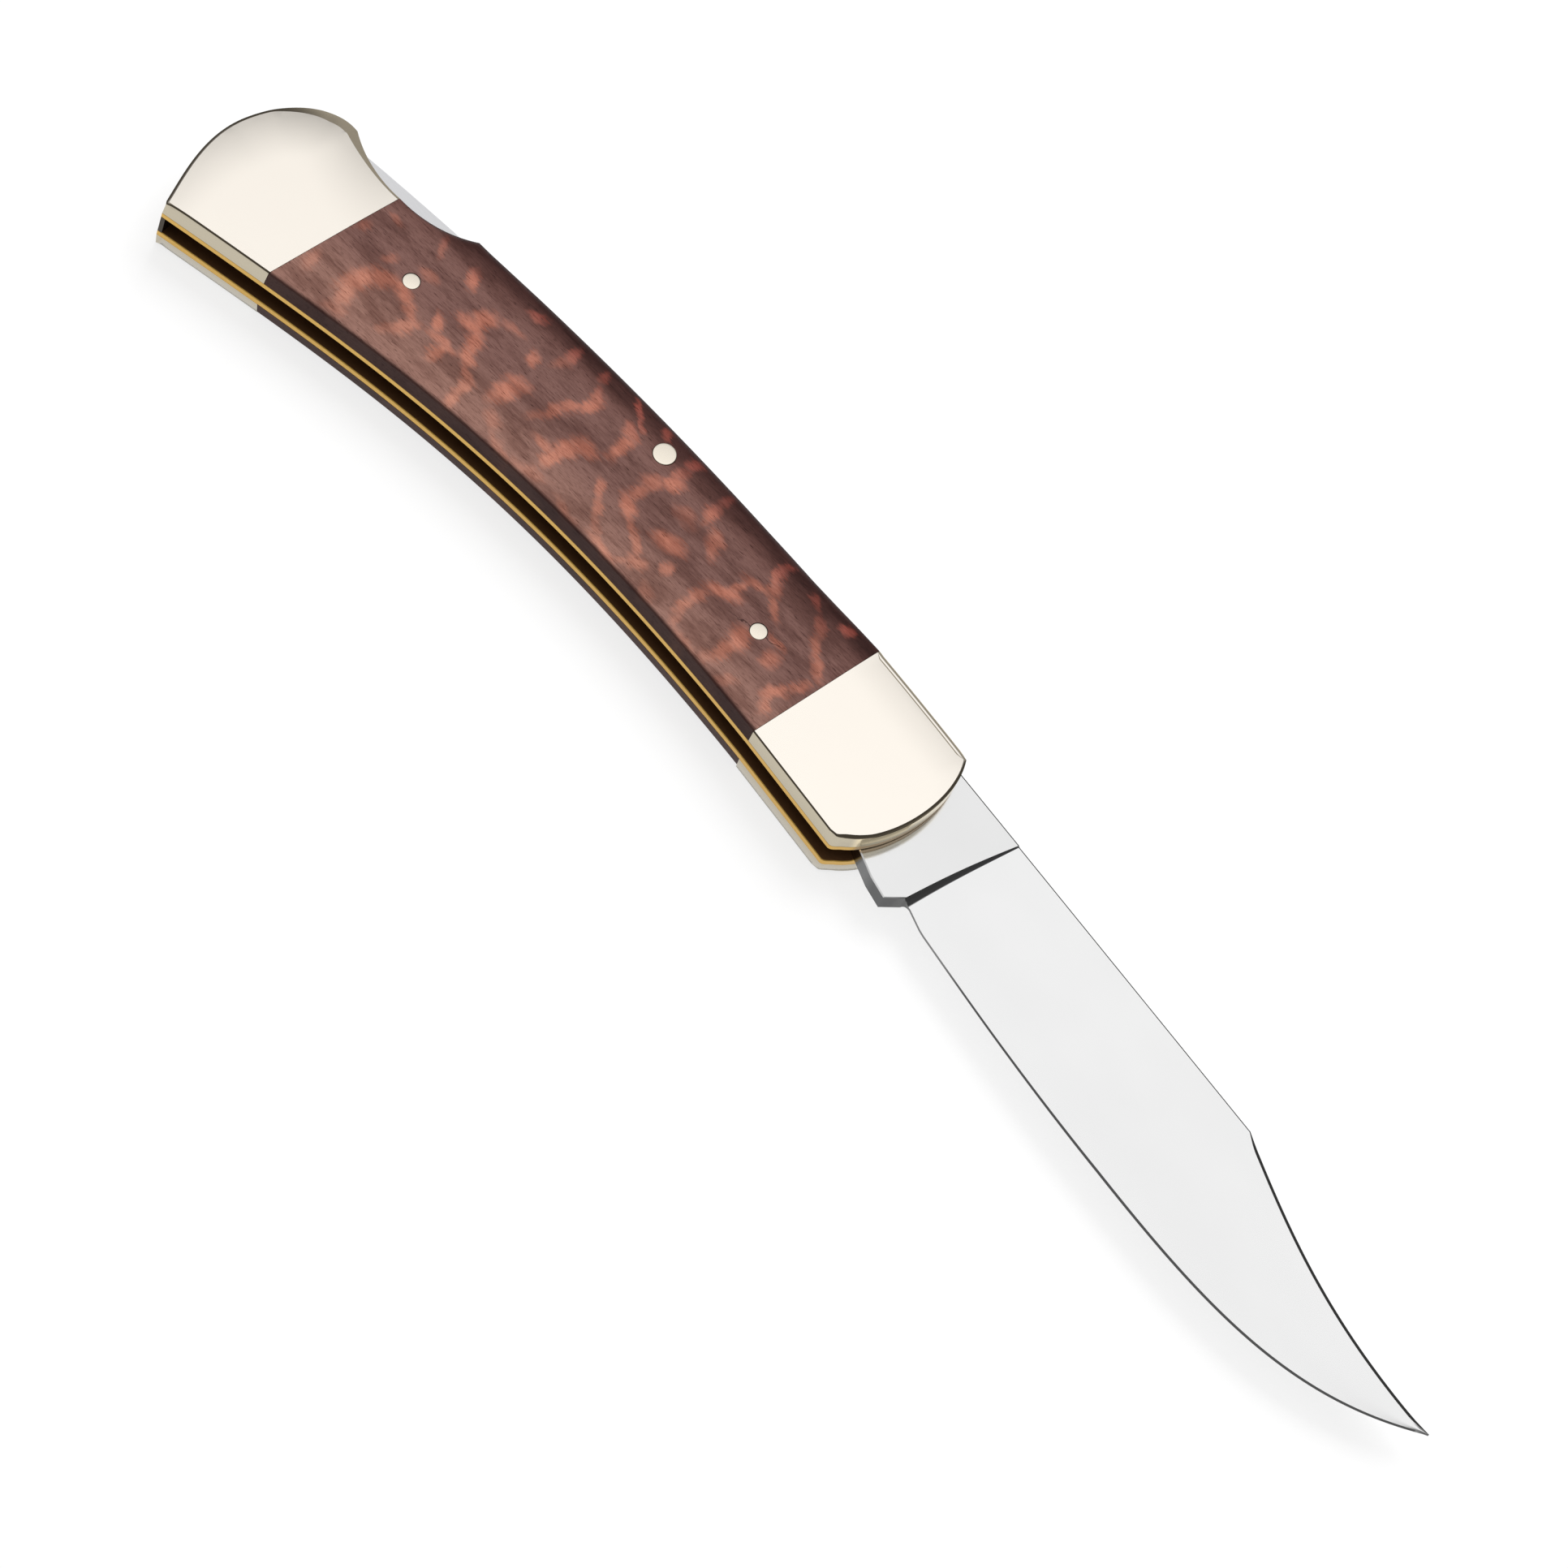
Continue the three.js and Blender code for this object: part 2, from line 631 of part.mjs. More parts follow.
function lockBar() {
  const front = -stopWall - stopGap;
  const points = [];
  for (let i = 0; i <= 24; i += 1) {
    const x = ramp(front, -barEnd, i / 24);
    points.push({ x, y: arcTop(x) - lockBarInset });
  }
  const armFront = lockPin.x - bossHalfLength - armBlend;
  for (let i = 0; i <= 10; i += 1) {
    const x = ramp(-barEnd, armFront, i / 10);
    points.push({ x, y: armUnderside(x) });
  }
  const bossBottom = lockPin.y - bossDepth;
  const noseBack = front - noseLength;
  points.push(
    { x: lockPin.x - bossHalfLength, y: bossBottom + bossRound.rise },
    { x: lockPin.x - bossHalfLength + bossRound.run, y: bossBottom },
    { x: lockPin.x + bossHalfLength, y: bossBottom + bossRise },
    { x: -kickLandEnd, y: kickLand },
    { x: noseBack - noseSlope - reliefLength, y: kickLand },
    { x: noseBack - reliefLength, y: reliefHeight },
    { x: noseBack - noseSlope, y: reliefHeight },
    { x: noseBack, y: noseLift },
    { x: front, y: noseLift },
  );
  const bar = extrude(shapeOf(points), middleZ - bladeThickness / 2, bladeThickness);
  return drill(bar, [pinGeometry(lockPin, slotZ - 1, rightLinerZ + 1, pivotFit)]);
}

const leafCurve = new THREE.QuadraticBezierCurve(
  new THREE.Vector2(springPin.x, springPin.y - eyeRadius + springThickness / 2),
  new THREE.Vector2(-springMiddle, -springBow),
  new THREE.Vector2(-springTip, armUnderside(-springTip) - springTouch - springThickness / 2),
);

function backSpring() {
  const steps = 14;
  const upper = [];
  const lower = [];
  for (let i = 0; i <= steps; i += 1) {
    const point = leafCurve.getPoint(i / steps);
    const along = leafCurve.getTangent(i / steps);
    const reach = springThickness / 2;
    upper.push({ x: point.x - along.y * reach, y: point.y + along.x * reach });
    lower.push({ x: point.x + along.y * reach, y: point.y - along.x * reach });
  }
  const low = slotZ + springSideGap;
  const width = slotWidth - 2 * springSideGap;
  const leaf = toSolid(extrude(shapeOf([...lower, ...upper.reverse()]), low, width));
  const eye = pinGeometry({ x: springPin.x, y: springPin.y, radius: eyeRadius }, low, low + width);
  const hole = pinGeometry(springPin, low - 1, low + width + 1, pinFit);
  return toGeometry(leaf.add(toSolid(eye)).subtract(toSolid(hole)));
}

function buttSpacer() {
  const inner = -barEnd - barEndGap;
  const shape = new THREE.Shape();
  shape.moveTo(inner, yOnCurve(buttUpper, inner));
  const outer = [...buttUpper.getPoints(8), ...buttLower.getPoints(6).slice(1)];
  outer.filter((point) => point.x < inner - 0.1).forEach((point) => shape.lineTo(point.x, point.y));
  shape.lineTo(buttCorner.x + spacerFoot, yOnCurve(bellyCurve, buttCorner.x + spacerFoot));
  const seatEnd = springPin.x + eyeRadius + seatReach;
  shape.splineThru([
    new THREE.Vector2(-handleBack + spacerWall, -spacerMiddle),
    new THREE.Vector2(seatEnd, springPin.y - seatDepth),
  ]);
  const seat = springPin.y - eyeRadius - seatGap;
  const horn = springPin.y + eyeRadius - hornDrop;
  shape.lineTo(seatEnd, seat);
  shape.lineTo(springPin.x, seat);
  shape.lineTo(springPin.x, horn);
  shape.lineTo(inner, horn);
  const block = toSolid(extrude(shape, slotZ, slotWidth));
  const eye = { x: springPin.x, y: springPin.y, radius: eyeRadius };
  const socket = pinGeometry(eye, slotZ - 1, rightLinerZ + 1, eyeGap);
  const pinHole = pinGeometry(buttPin, slotZ - 1, rightLinerZ + 1, pinFit);
  return toGeometry(block.subtract(toSolid(socket)).subtract(toSolid(pinHole)));
}

// Assembly

const knife = new THREE.Group();

function addPiece(name, geometry, material) {
  const mesh = new THREE.Mesh(geometry, material);
  mesh.name = name;
  knife.add(mesh);
}

function addPair(base, geometry, material) {
  addPiece(`${base}_right`, geometry, material);
  addPiece(`${base}_left`, toLeftSide(geometry), material);
}

addPiece('blade', blade(), materials.steel);
addPiece('lock_bar', lockBar(), materials.steel);
addPiece('back_spring', backSpring(), materials.springSteel);
addPiece('butt_spacer', buttSpacer(), materials.nickelSilver);
addPair('liner', liner(), materials.brass);
addPair('front_bolster', frontBolster(), materials.nickelSilver);
addPair('rear_bolster', rearBolster(), materials.nickelSilver);
addPair('scale', scale(), materials.wood);
addPair('front_rivet', pinGeometry(frontRivet, rightLinerZ, handleThickness), materials.nickelSilver);
addPair('rear_rivet', pinGeometry(rearRivet, rightLinerZ, handleThickness), materials.nickelSilver);

const hiddenLow = leftLinerZ - blindDepth;
const hiddenHigh = rightCoverZ + blindDepth;
addPiece('lock_bar_pin', pinGeometry(lockPin, 0, handleThickness), materials.nickelSilver);
addPiece('blade_pivot_pin', pinGeometry(pivotPin, hiddenLow, hiddenHigh), materials.nickelSilver);
addPiece('spring_pin', pinGeometry(springPin, hiddenLow, hiddenHigh), materials.nickelSilver);
addPiece('butt_pin', pinGeometry(buttPin, hiddenLow, hiddenHigh), materials.nickelSilver);

export default knife;
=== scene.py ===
# Folding pocket knife with a back lock, open, lying on its left side on a pale floor.
# Lengths are in millimetres from the blade's pivot, as in the model, and become metres in each mesh.
from collections import namedtuple
from math import cos, pi, radians, sin, sqrt

import bmesh
import bpy
import numpy as np
from mathutils import Matrix, Vector
from mathutils.geometry import delaunay_2d_cdt, tessellate_polygon


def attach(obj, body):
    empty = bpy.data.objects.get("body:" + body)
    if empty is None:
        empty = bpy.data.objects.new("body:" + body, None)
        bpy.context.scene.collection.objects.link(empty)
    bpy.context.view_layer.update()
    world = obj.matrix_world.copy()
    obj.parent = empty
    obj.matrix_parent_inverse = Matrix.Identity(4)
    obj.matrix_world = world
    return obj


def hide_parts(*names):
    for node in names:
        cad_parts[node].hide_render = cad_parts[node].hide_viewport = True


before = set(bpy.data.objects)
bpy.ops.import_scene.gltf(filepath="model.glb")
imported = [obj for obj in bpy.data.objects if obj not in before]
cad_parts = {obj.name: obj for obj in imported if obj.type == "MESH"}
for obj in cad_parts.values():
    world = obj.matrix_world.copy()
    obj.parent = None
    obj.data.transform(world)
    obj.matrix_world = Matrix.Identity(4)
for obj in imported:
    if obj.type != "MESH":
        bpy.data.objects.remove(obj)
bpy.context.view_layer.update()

MM = 0.001
TINY = 1e-6

# Heights of the layers, from the left face up
COVER = 2.5
LINER = 1.0
SLOT_HIGH = 6.85
COVER_HIGH = SLOT_HIGH + LINER
TOP = COVER_HIGH + COVER
MIDDLE = TOP / 2

# Outline of the handle
FRONT_SEAM = -9.7
REAR_SEAM = -94.6
SEAM_GAP = 0.05
SPINE_HEIGHT = 11.6
SPINE_APEX = -2.0
SPINE_RADIUS = 490
NOTCH_CENTRE = (-97.5, 16.8)
NOTCH_RADIUS = 17.9
HUMP_RISE = 0.5
BUTT_BACK = (-115.0, -12.5)
BUTT_CORNER = (-109.8, -27.5)
BELLY_DEPTH = 9.75
NOSE_BOTTOM = (7.2, -10.1)
NOSE_TOP = 8.3
NOSE_TOP_DROP = 0.2
NOSE_TOP_ROUND = 1.2
TANG_EXIT = 9.2
LINER_SETBACK = 0.05

# Handles of the outline's curves, as steps from their ends; NOSE_LOW and NOSE_HIGH are places, and NOSE_ROUND
# leads from NOSE_BOTTOM to where the nose's own curve starts
BELLY_REAR = (33, 10.9)
BELLY_MIDDLE = (-45, 0)
BUTT_TOP = (-6.6, 0.1)
BUTT_SHOULDER = (0, 4)
BUTT_HEEL = (0, -5.5)
BUTT_FOOT = (-2.3, 4.6)
NOSE_ROUND = (1.1, 1.2)
NOSE_LOW = (12.3, -4.2)
NOSE_HIGH = (12.4, 6.4)
NOSE_CORNER_OUT = (0.5, 0.1)
NOSE_CORNER_IN = (-0.3, -0.4)

# How far the belly's walls lean in for each millimetre of height, and the share of it on the front bolsters
# and at the outline's corners, where it fades with each point
BELLY_LEAN = 0.15
FRONT_LEAN = 0.4
CORNER_LEAN = 0.5
LEAN_FADE = 0.1

# Broken edges: width, and how far they drop as a share of it
WOOD_SHOULDER = 2.4
WOOD_FULLNESS = 2.2
WOOD_DROP = 0.6
WOOD_BELLY_EDGE = 0.4
WOOD_BELLY_DROP = 0.9
FRONT_SHOULDER = 0.42
REAR_SHOULDER = 0.4
HUMP_EDGE = 1.85
HUMP_SWELL = 2.6
BUTT_EDGE = 0.4
BOLSTER_DROP = 0.47
NOSE_EDGE = 0.38
NOSE_DROP = 1.25
BELLY_EDGE = 0.18
BELLY_DROP = 1.2
LEDGE = 0.25
LEDGE_DROP = 0.03
STEP = 0.2
STEP_DROP = 0.5
LINER_BREAK = 0.1

# How round the broken edges are, from a flat facet at 0 to a quarter circle at 1
HUMP_ROUNDING = 0.05
EDGE_ROUNDING = 0.2
NOSE_ROUNDING = 0.3
BELLY_ROUNDING = 0.4

# Soft crowns inside the edges: width, and bend per millimetre; just before the hump's corner it is wider, so
# that no flat spot is left there
WOOD_CROWN = (5.5, 0.036)
FRONT_CROWN = (5.0, 0.014)
NOTCH_CROWN = (9.0, 0.005)
HUMP_CROWN = (7.0, 0.0185)
HUMP_TIP_REACH = 7.27
BACK_CROWN = (7.0, 0.0205)
CORNER_CROWN = (3.5, 0.028)

# Distances and numbers of points along the outlines, across their edges and over the faces
RIM_SPACING = 0.8
CURVE_SPACING = 0.6
NOTCH_SPACING = 0.5
FACE_SPACING = 0.8
FACE_CLEAR = 0.45
SEAM_CLEAR = 0.5
SEAM_POINTS = 24
FRONT_POINTS = 17
CORNER_STEPS = 4
EDGE_STEPS = 8
SIDES = 48
SHARP = 28

# Pins: distance along, height, radius
LOCK_PIN = (-46.7, 5.357, 1.59)
FRONT_RIVET = (-20.3, -0.192, 1.19)
REAR_RIVET = (-84.0, -7.209, 1.19)
SPRING_PIN = (-109.6, -8.908, 0.95)
BUTT_PIN = (-111.2, -17.523, 0.95)
PIVOT = (0.0, 0.0, 2.4)
PIN_RING = 0.035
PIN_DOME = 0.025
PIN_ROUND = 0.12
PIN_ROUND_DROP = 0.6
PIN_ROUND_STEPS = 3
PIN_DOME_STEPS = 6

# Blade
BLADE_HALF = 1.525
BLADE_SPINE = 11.2
CLIP_START = 67.0
TIP = (110.2, 4.3)
BELLY_START = 60.0
BLADE_EDGE = 8.45
PLUNGE_TOP = 20.5
PLUNGE_BOTTOM = 18.0
PLUNGE_BOW = 0.25
PLUNGE_WIDTH = 1.35
PLUNGE_NARROW = 0.22
CHOIL_HEIGHT = 5.9
HEEL = (21.4, -6.7)
KICK_BEND = (13.3, -7.8)
KICK = (16.4, -8.25)
STOP_WALL = -4.5
CAM_RADIUS = 6.4
TANG_TURN = -0.9
GRIND_SPINE = 2.6
CLIP_THICKNESS = 2.3
TIP_THICKNESS = 0.5
EDGE_THICKNESS = 0.5
EDGE_FACET = 0.25
HEEL_FACET = 0.12
CLIP_FACET = 0.55
SPINE_BREAK = 0.18
FACET_SLOPE = 0.55
TANG_EDGE_HALF = BLADE_HALF - SPINE_BREAK * FACET_SLOPE
CREST_HALF = 0.03
SLIVER = 0.02
HOLLOW = 0.78
PLUNGE_FADE = 20
CLIP_EASE = 2
FACE_STEPS = 18
CAM_SECTIONS = 10
KICK_SECTIONS = 4
PLUNGE_SECTIONS = 11
CLIP_STEP = 0.8
LAST_STEPS = (0.6, 0.25, SLIVER)
BLADE_SHARP = 22
# Middle and radius of the painted shadow of the bolster's nose on the ricasso
NOSE_SHADOW_CENTRE = (-6.2, -0.5)
NOSE_SHADOW_RADIUS = 18.3
NICK = (42.0, 8.2)
NICK_SIZE = (15.0, 2.6, 0.6)
NICK_SINK = 0.94
NICK_SIDES = 40
NICK_LEVELS = 10
PIVOT_CLEARANCE = 0.05
BORE_REACH = 3

# Handles of the blade's curves, as steps from their ends; EDGE_POINT rises from the edge's deepest line
EDGE_BELLY = (22.2, -0.2)
EDGE_POINT = (-13.1, 1.1)
CLIP_CORNER = (13.6, -4.5)
CLIP_POINT = (-18.1, -0.9)

# Lock bar: its nose and the relief behind it by length and height, then the land, the boss and the rear arm
STOP_GAP = 0.15
BAR_INSET = 0.1
BAR_END = -105.9
BAR_BREAK = 0.12
BAR_NOSE = (5.0, 5.0)
RELIEF = (5.2, 6.7)
RELIEF_SLOPE = 1.0
KICK_LAND = (-21.0, 5.6)
BOSS_DEPTH = 3.8
BOSS_HALF = 5.5
BOSS_ROUND = (3.0, 0.5)
BOSS_RISE = 0.4
ARM_START = 10.5
ARM_TAPER = -71.5
ARM_DEPTH = (4.9, 4.2)
BAR_POINTS = 110
ARM_POINTS = 50

# Light: places and sizes in metres
CEILING = 1.12
CEILING_LOW = 0.6
CEILING_HIGH = 0.9
WALLS = 0.36
EAST_SHADE = 0.15
NEAR_SHADE = 0.1
FLOOR_REACH = 3.0
FLOOR_GLOW = 0.74
FLOOR_TINT = 0.27
KEY_PLACE = (-0.2, 0.6, 1.0)
KEY_SIZE = 0.8
KEY_POWER = 9

# Camera: azimuth, elevation and roll in degrees, distance in metres, and what it looks at in millimetres
CAMERA_TURN = (26.35, 61.25, -27.63)
CAMERA_DISTANCE = 0.8
CAMERA_AIM = (-3.132, -8.358, 5.175)
LENS = 146.158
SENSOR = 36


# Curves

def bezier(a, b, c, d, count=400):
    t = np.linspace(0, 1, count)[:, None]
    a, b, c, d = (np.array(p, float) for p in (a, b, c, d))
    return a * (1 - t) ** 3 + 3 * b * t * (1 - t) ** 2 + 3 * c * t ** 2 * (1 - t) + d * t ** 3


def even(curve, spacing):
    """Points at an even spacing along a dense curve, both ends kept."""
    steps = np.hypot(*np.diff(curve, axis=0).T)
    run = np.concatenate([[0], np.cumsum(steps)])
    count = max(2, int(round(run[-1] / spacing)) + 1)
    places = np.linspace(0, run[-1], count)
    return np.column_stack([np.interp(places, run, curve[:, k]) for k in (0, 1)])


def spine_arc(x):
    return SPINE_HEIGHT - SPINE_RADIUS + np.sqrt(SPINE_RADIUS ** 2 - (x - SPINE_APEX) ** 2)


def notch_floor(x):
    run = NOTCH_RADIUS ** 2 - (x - NOTCH_CENTRE[0]) ** 2
    return NOTCH_CENTRE[1] - np.sqrt(np.maximum(run, 0))


def crossing(low, high, rise):
    """Where the notch meets the line of the spine, raised by rise, between two places."""
    x = np.linspace(low, high, 20001)
    gap = notch_floor(x) - spine_arc(x) - rise
    return float(x[np.argmin(np.abs(gap))])


NOTCH_FRONT = crossing(-90, -80, 0)
HUMP = crossing(-110, -100, HUMP_RISE)
hump_point = np.array([HUMP, notch_floor(HUMP)])
butt_corner = np.array(BUTT_CORNER)
belly_front = np.array([FRONT_SEAM, -BELLY_DEPTH])
belly_curve = bezier(butt_corner, butt_corner + BELLY_REAR, belly_front + BELLY_MIDDLE, belly_front)
butt_upper = bezier(hump_point, hump_point + BUTT_TOP, np.add(BUTT_BACK, BUTT_SHOULDER), BUTT_BACK)
butt_lower = bezier(BUTT_BACK, np.add(BUTT_BACK, BUTT_HEEL), butt_corner + BUTT_FOOT, butt_corner)
nose_top = (NOSE_TOP, spine_arc(NOSE_TOP) - NOSE_TOP_DROP)
nose_curve = bezier(np.add(NOSE_BOTTOM, NOSE_ROUND), NOSE_LOW, NOSE_HIGH, nose_top)
belly_low = np.array([BELLY_START, -BLADE_EDGE])
edge_point = (TIP[0] + EDGE_POINT[0], -BLADE_EDGE + EDGE_POINT[1])
edge_curve = bezier(belly_low, belly_low + EDGE_BELLY, edge_point, TIP)
clip_corner = np.array([CLIP_START, BLADE_SPINE])
clip_curve = bezier(clip_corner, clip_corner + CLIP_CORNER, np.add(TIP, CLIP_POINT), TIP)


def ramp(start, end, t):
    return start + (end - start) * min(1, max(0, t))


def blend(start, end, t):
    """ramp() for each value of two tuples."""
    return [ramp(a, b, t) for a, b in zip(start, end)]


# Outlines: each point has its place, the width of its broken edge, the drop of that edge as a share of its
# width, how round it is, the width and bend of the soft crown inside it, how far its wall leans in, if it is
# on a seam, and if a small ledge and step lie inside the broken edge

Rim = namedtuple("Rim", "x y edge drop rounding crown bend lean seam ledge",
                 defaults=(0, 0, 0, 0, 0, 0, False, False))
PLAIN = (0, 0, 0, 0, 0)


def belly_run(start, end, edge=BELLY_EDGE, drop=BELLY_DROP):
    xs = np.linspace(start, end, int(abs(end - start) / RIM_SPACING) + 1)
    ys = np.interp(xs, belly_curve[:, 0], belly_curve[:, 1])
    return [Rim(x, y, edge, drop, BELLY_ROUNDING, lean=1) for x, y in zip(xs, ys)]


def spine_run(start, end, form_at, spacing=RIM_SPACING):
    """Along the spine and the notch; form_at gives the edge, drop, rounding, crown and bend at each place."""
    count = max(3, int(abs(end - start) / spacing) + 1)
    run = []
    for x in np.linspace(start, end, count):
        y = notch_floor(x) if x < NOTCH_FRONT - TINY else spine_arc(x)
        run.append(Rim(x, y, *form_at(x)))
    return run


def seam_run(start, end):
    """Between the two corners of a seam; start and end are those corners' rims."""
    way = np.sign(end.y - start.y)
    first = start.y + way * (start.edge + SEAM_CLEAR)
    last = end.y - way * (end.edge + SEAM_CLEAR)
    run = [Rim(start.x, y, seam=True) for y in np.linspace(first, last, SEAM_POINTS)]
    return start._replace(seam=True), run, end._replace(seam=True)


def nose_run():
    low, high = np.array(NOSE_BOTTOM), nose_curve[0]
    corner = bezier(low, low + NOSE_CORNER_OUT, high + NOSE_CORNER_IN, high, CORNER_STEPS + 1)
    run = []
    for i, (x, y) in enumerate(corner):
        t = i / CORNER_STEPS
        run.append(Rim(x, y, ramp(BELLY_EDGE, NOSE_EDGE, t), ramp(BELLY_DROP, NOSE_DROP, t), BELLY_ROUNDING,
                       lean=ramp(1, CORNER_LEAN, t)))
    # The edge's drop changes over the upper five eighths of the curve, the crown over its upper half
    curve = even(nose_curve, CURVE_SPACING)[1:]
    for i, (x, y) in enumerate(curve):
        t = (i + 1) / len(curve)
        run.append(Rim(x, y, NOSE_EDGE, ramp(NOSE_DROP, BOLSTER_DROP, t * 1.6 - 0.6), NOSE_ROUNDING,
                       *blend((0, 0), FRONT_CROWN, t * 2 - 1), max(0, CORNER_LEAN - LEAN_FADE * i)))
    return run


def butt_run():
    # The hump's wide edge narrows over the middle of the upper curve, its crown over the curve's first half
    upper = even(butt_upper, CURVE_SPACING)
    run = []
    for i, (x, y) in enumerate(upper):
        t = i / (len(upper) - 1)
        run.append(Rim(x, y, ramp(HUMP_EDGE, BUTT_EDGE, t * 2.2 - 0.5), BOLSTER_DROP, HUMP_ROUNDING,
                       *blend(HUMP_CROWN, BACK_CROWN, t * 2)))
    lower = even(butt_lower, CURVE_SPACING)[1:]
    for i, (x, y) in enumerate(lower):
        t = (i + 1) / len(lower)
        run.append(Rim(x, y, BUTT_EDGE, BOLSTER_DROP, EDGE_ROUNDING, *blend(BACK_CROWN, CORNER_CROWN, t),
                       CORNER_LEAN if t == 1 else 0))
    return run


def front_bolster_outline():
    back = FRONT_SEAM + SEAM_GAP / 2
    belly = [Rim(x, ramp(-BELLY_DEPTH, NOSE_BOTTOM[1], (x - back) / (NOSE_BOTTOM[0] - back)),
                 BELLY_EDGE, BELLY_DROP, BELLY_ROUNDING, lean=FRONT_LEAN)
             for x in np.linspace(back, NOSE_BOTTOM[0], FRONT_POINTS + 1)[:-1]]
    form = (FRONT_SHOULDER, BOLSTER_DROP, EDGE_ROUNDING, *FRONT_CROWN)
    spine = spine_run(NOSE_TOP - NOSE_TOP_ROUND, back, lambda x: form)
    spine = [rim._replace(ledge=True) for rim in spine]
    top, seam, bottom = seam_run(spine[-1], belly[0])
    return [bottom] + belly[1:] + nose_run() + spine[:-1] + [top] + seam


def scale_outline():
    back = REAR_SEAM + SEAM_GAP / 2
    front = FRONT_SEAM - SEAM_GAP / 2

    def form(x):
        """The wide wooden shoulder in the middle; the crown is the bolsters' at both ends."""
        along = (x - back) / (front - back)
        middle = min(1, WOOD_FULLNESS * sin(pi * ramp(0, 1, along)))
        seam = ramp(REAR_SHOULDER, FRONT_SHOULDER, along)
        crown = blend(NOTCH_CROWN, WOOD_CROWN, along * 4)
        return (ramp(seam, WOOD_SHOULDER, middle), ramp(BOLSTER_DROP, WOOD_DROP, middle),
                ramp(EDGE_ROUNDING, 1, middle), *blend(crown, FRONT_CROWN, along * 4 - 3))

    belly = belly_run(back, front, WOOD_BELLY_EDGE, WOOD_BELLY_DROP)
    spine = spine_run(front, NOTCH_FRONT, form)
    notch = spine_run(NOTCH_FRONT, back, form, NOTCH_SPACING)[1:]
    front_bottom, front_seam, front_top = seam_run(belly[-1], spine[0])
    rear_top, rear_seam, rear_bottom = seam_run(notch[-1], belly[0])
    return ([rear_bottom] + belly[1:-1] + [front_bottom] + front_seam + [front_top] + spine[1:] + notch[:-1]
            + [rear_top] + rear_seam)


def rear_bolster_outline():
    front = REAR_SEAM - SEAM_GAP / 2

    def form(x):
        share = (front - x) / (front - HUMP)
        edge = ramp(REAR_SHOULDER, HUMP_EDGE, share ** HUMP_SWELL)
        return edge, BOLSTER_DROP, HUMP_ROUNDING, *blend(NOTCH_CROWN, HUMP_CROWN, share)

    belly = belly_run(BUTT_CORNER[0], front)
    notch = spine_run(front, HUMP, form, NOTCH_SPACING)
    notch[-2] = notch[-2]._replace(crown=HUMP_TIP_REACH)
    bottom, seam, top = seam_run(belly[-1], notch[0])
    return belly[1:-1] + [bottom] + seam + [top] + notch[1:] + butt_run()[1:]


def handle_outline():
    """The liners' outline, as plain points; over the tang their nose is a touch behind the bolsters'."""
    rims = belly_run(BUTT_CORNER[0], FRONT_SEAM)[1:]
    rims += nose_run()
    rims += spine_run(NOSE_TOP - NOSE_TOP_ROUND, NOTCH_FRONT, lambda x: PLAIN)
    rims += spine_run(NOTCH_FRONT, HUMP, lambda x: PLAIN, NOTCH_SPACING)[1:]
    rims += butt_run()[1:]
    return [(rim.x - LINER_SETBACK * ramp(0, 1, rim.x - TANG_EXIT), rim.y) for rim in rims]


# Meshes

def unit(way):
    return way / np.hypot(*way)


def inward(points, seams=None):
    """Inward step at each point of an anticlockwise outline, at most 2 long in a sharp corner; on a seam it
    runs along the seam."""
    places = np.array(points, float)
    before = np.roll(places, 1, axis=0)
    after = np.roll(places, -1, axis=0)
    result = np.zeros_like(places)
    for i, place in enumerate(places):
        a = place - before[i]
        b = after[i] - place
        if seams is not None and seams[i]:
            if abs(a[0]) < TINY and abs(b[0]) < TINY:
                continue
            along = unit(b if abs(a[0]) < TINY else a)
            result[i] = (0, 1 / along[0])
            continue
        a, b = unit(a), unit(b)
        normal = unit(np.array([-(a[1] + b[1]), a[0] + b[0]]))
        result[i] = normal / max(0.5, -a[1] * normal[0] + a[0] * normal[1])
    return result


def circle(place, radius, z):
    turns = [2 * pi * i / SIDES for i in range(SIDES)]
    return [(place[0] + radius * cos(turn), place[1] + radius * sin(turn), z) for turn in turns]


def cap(vertices, loops, upward):
    """Triangles that fill a level loop, less the loops of its holes."""
    lines = [[Vector(vertices[i]) for i in loop] for loop in loops]
    order = [i for loop in loops for i in loop]
    faces = []
    for triangle in tessellate_polygon(lines):
        a, b, c = (order[i] for i in triangle)
        pa, pb, pc = (vertices[i] for i in (a, b, c))
        turn = (pb[0] - pa[0]) * (pc[1] - pa[1]) - (pb[1] - pa[1]) * (pc[0] - pa[0])
        faces.append((a, b, c) if (turn > 0) == upward else (a, c, b))
    return faces


def lines_round(rings, count):
    """The ends of each line round these rings, which have count points each."""
    return [(ring * count + i, ring * count + (i + 1) % count) for ring in rings for i in range(count)]


def skin(rings, count):
    """The faces between a number of rings of count points each, from the lowest up."""
    return [(a, b, b + count, a + count) for a, b in lines_round(range(rings - 1), count)]


def bore(low, high):
    """The wall of a hole between two circles, whose vertices start at low and at high."""
    return [(low + b, low + a, high + a, high + b) for a, b in lines_round([0], SIDES)]


def stack(rings, holes=()):
    """A closed solid through rings of equal count, from the lowest up, with straight holes through it."""
    count = len(rings[0])
    vertices = [tuple(p) for ring in rings for p in ring]
    faces = skin(len(rings), count)
    low_loops = [range(count)]
    high_loops = [range((len(rings) - 1) * count, len(rings) * count)]
    low, high = rings[0][0][2], rings[-1][0][2]
    for place in holes:
        radius = place[2] + PIN_RING
        start = len(vertices)
        vertices += circle(place, radius, low) + circle(place, radius, high)
        low_loops.append(range(start, start + SIDES))
        high_loops.append(range(start + SIDES, start + 2 * SIDES))
        faces += bore(start, start + SIDES)
    faces += cap(vertices, low_loops, upward=False)
    faces += cap(vertices, high_loops, upward=True)
    return vertices, faces


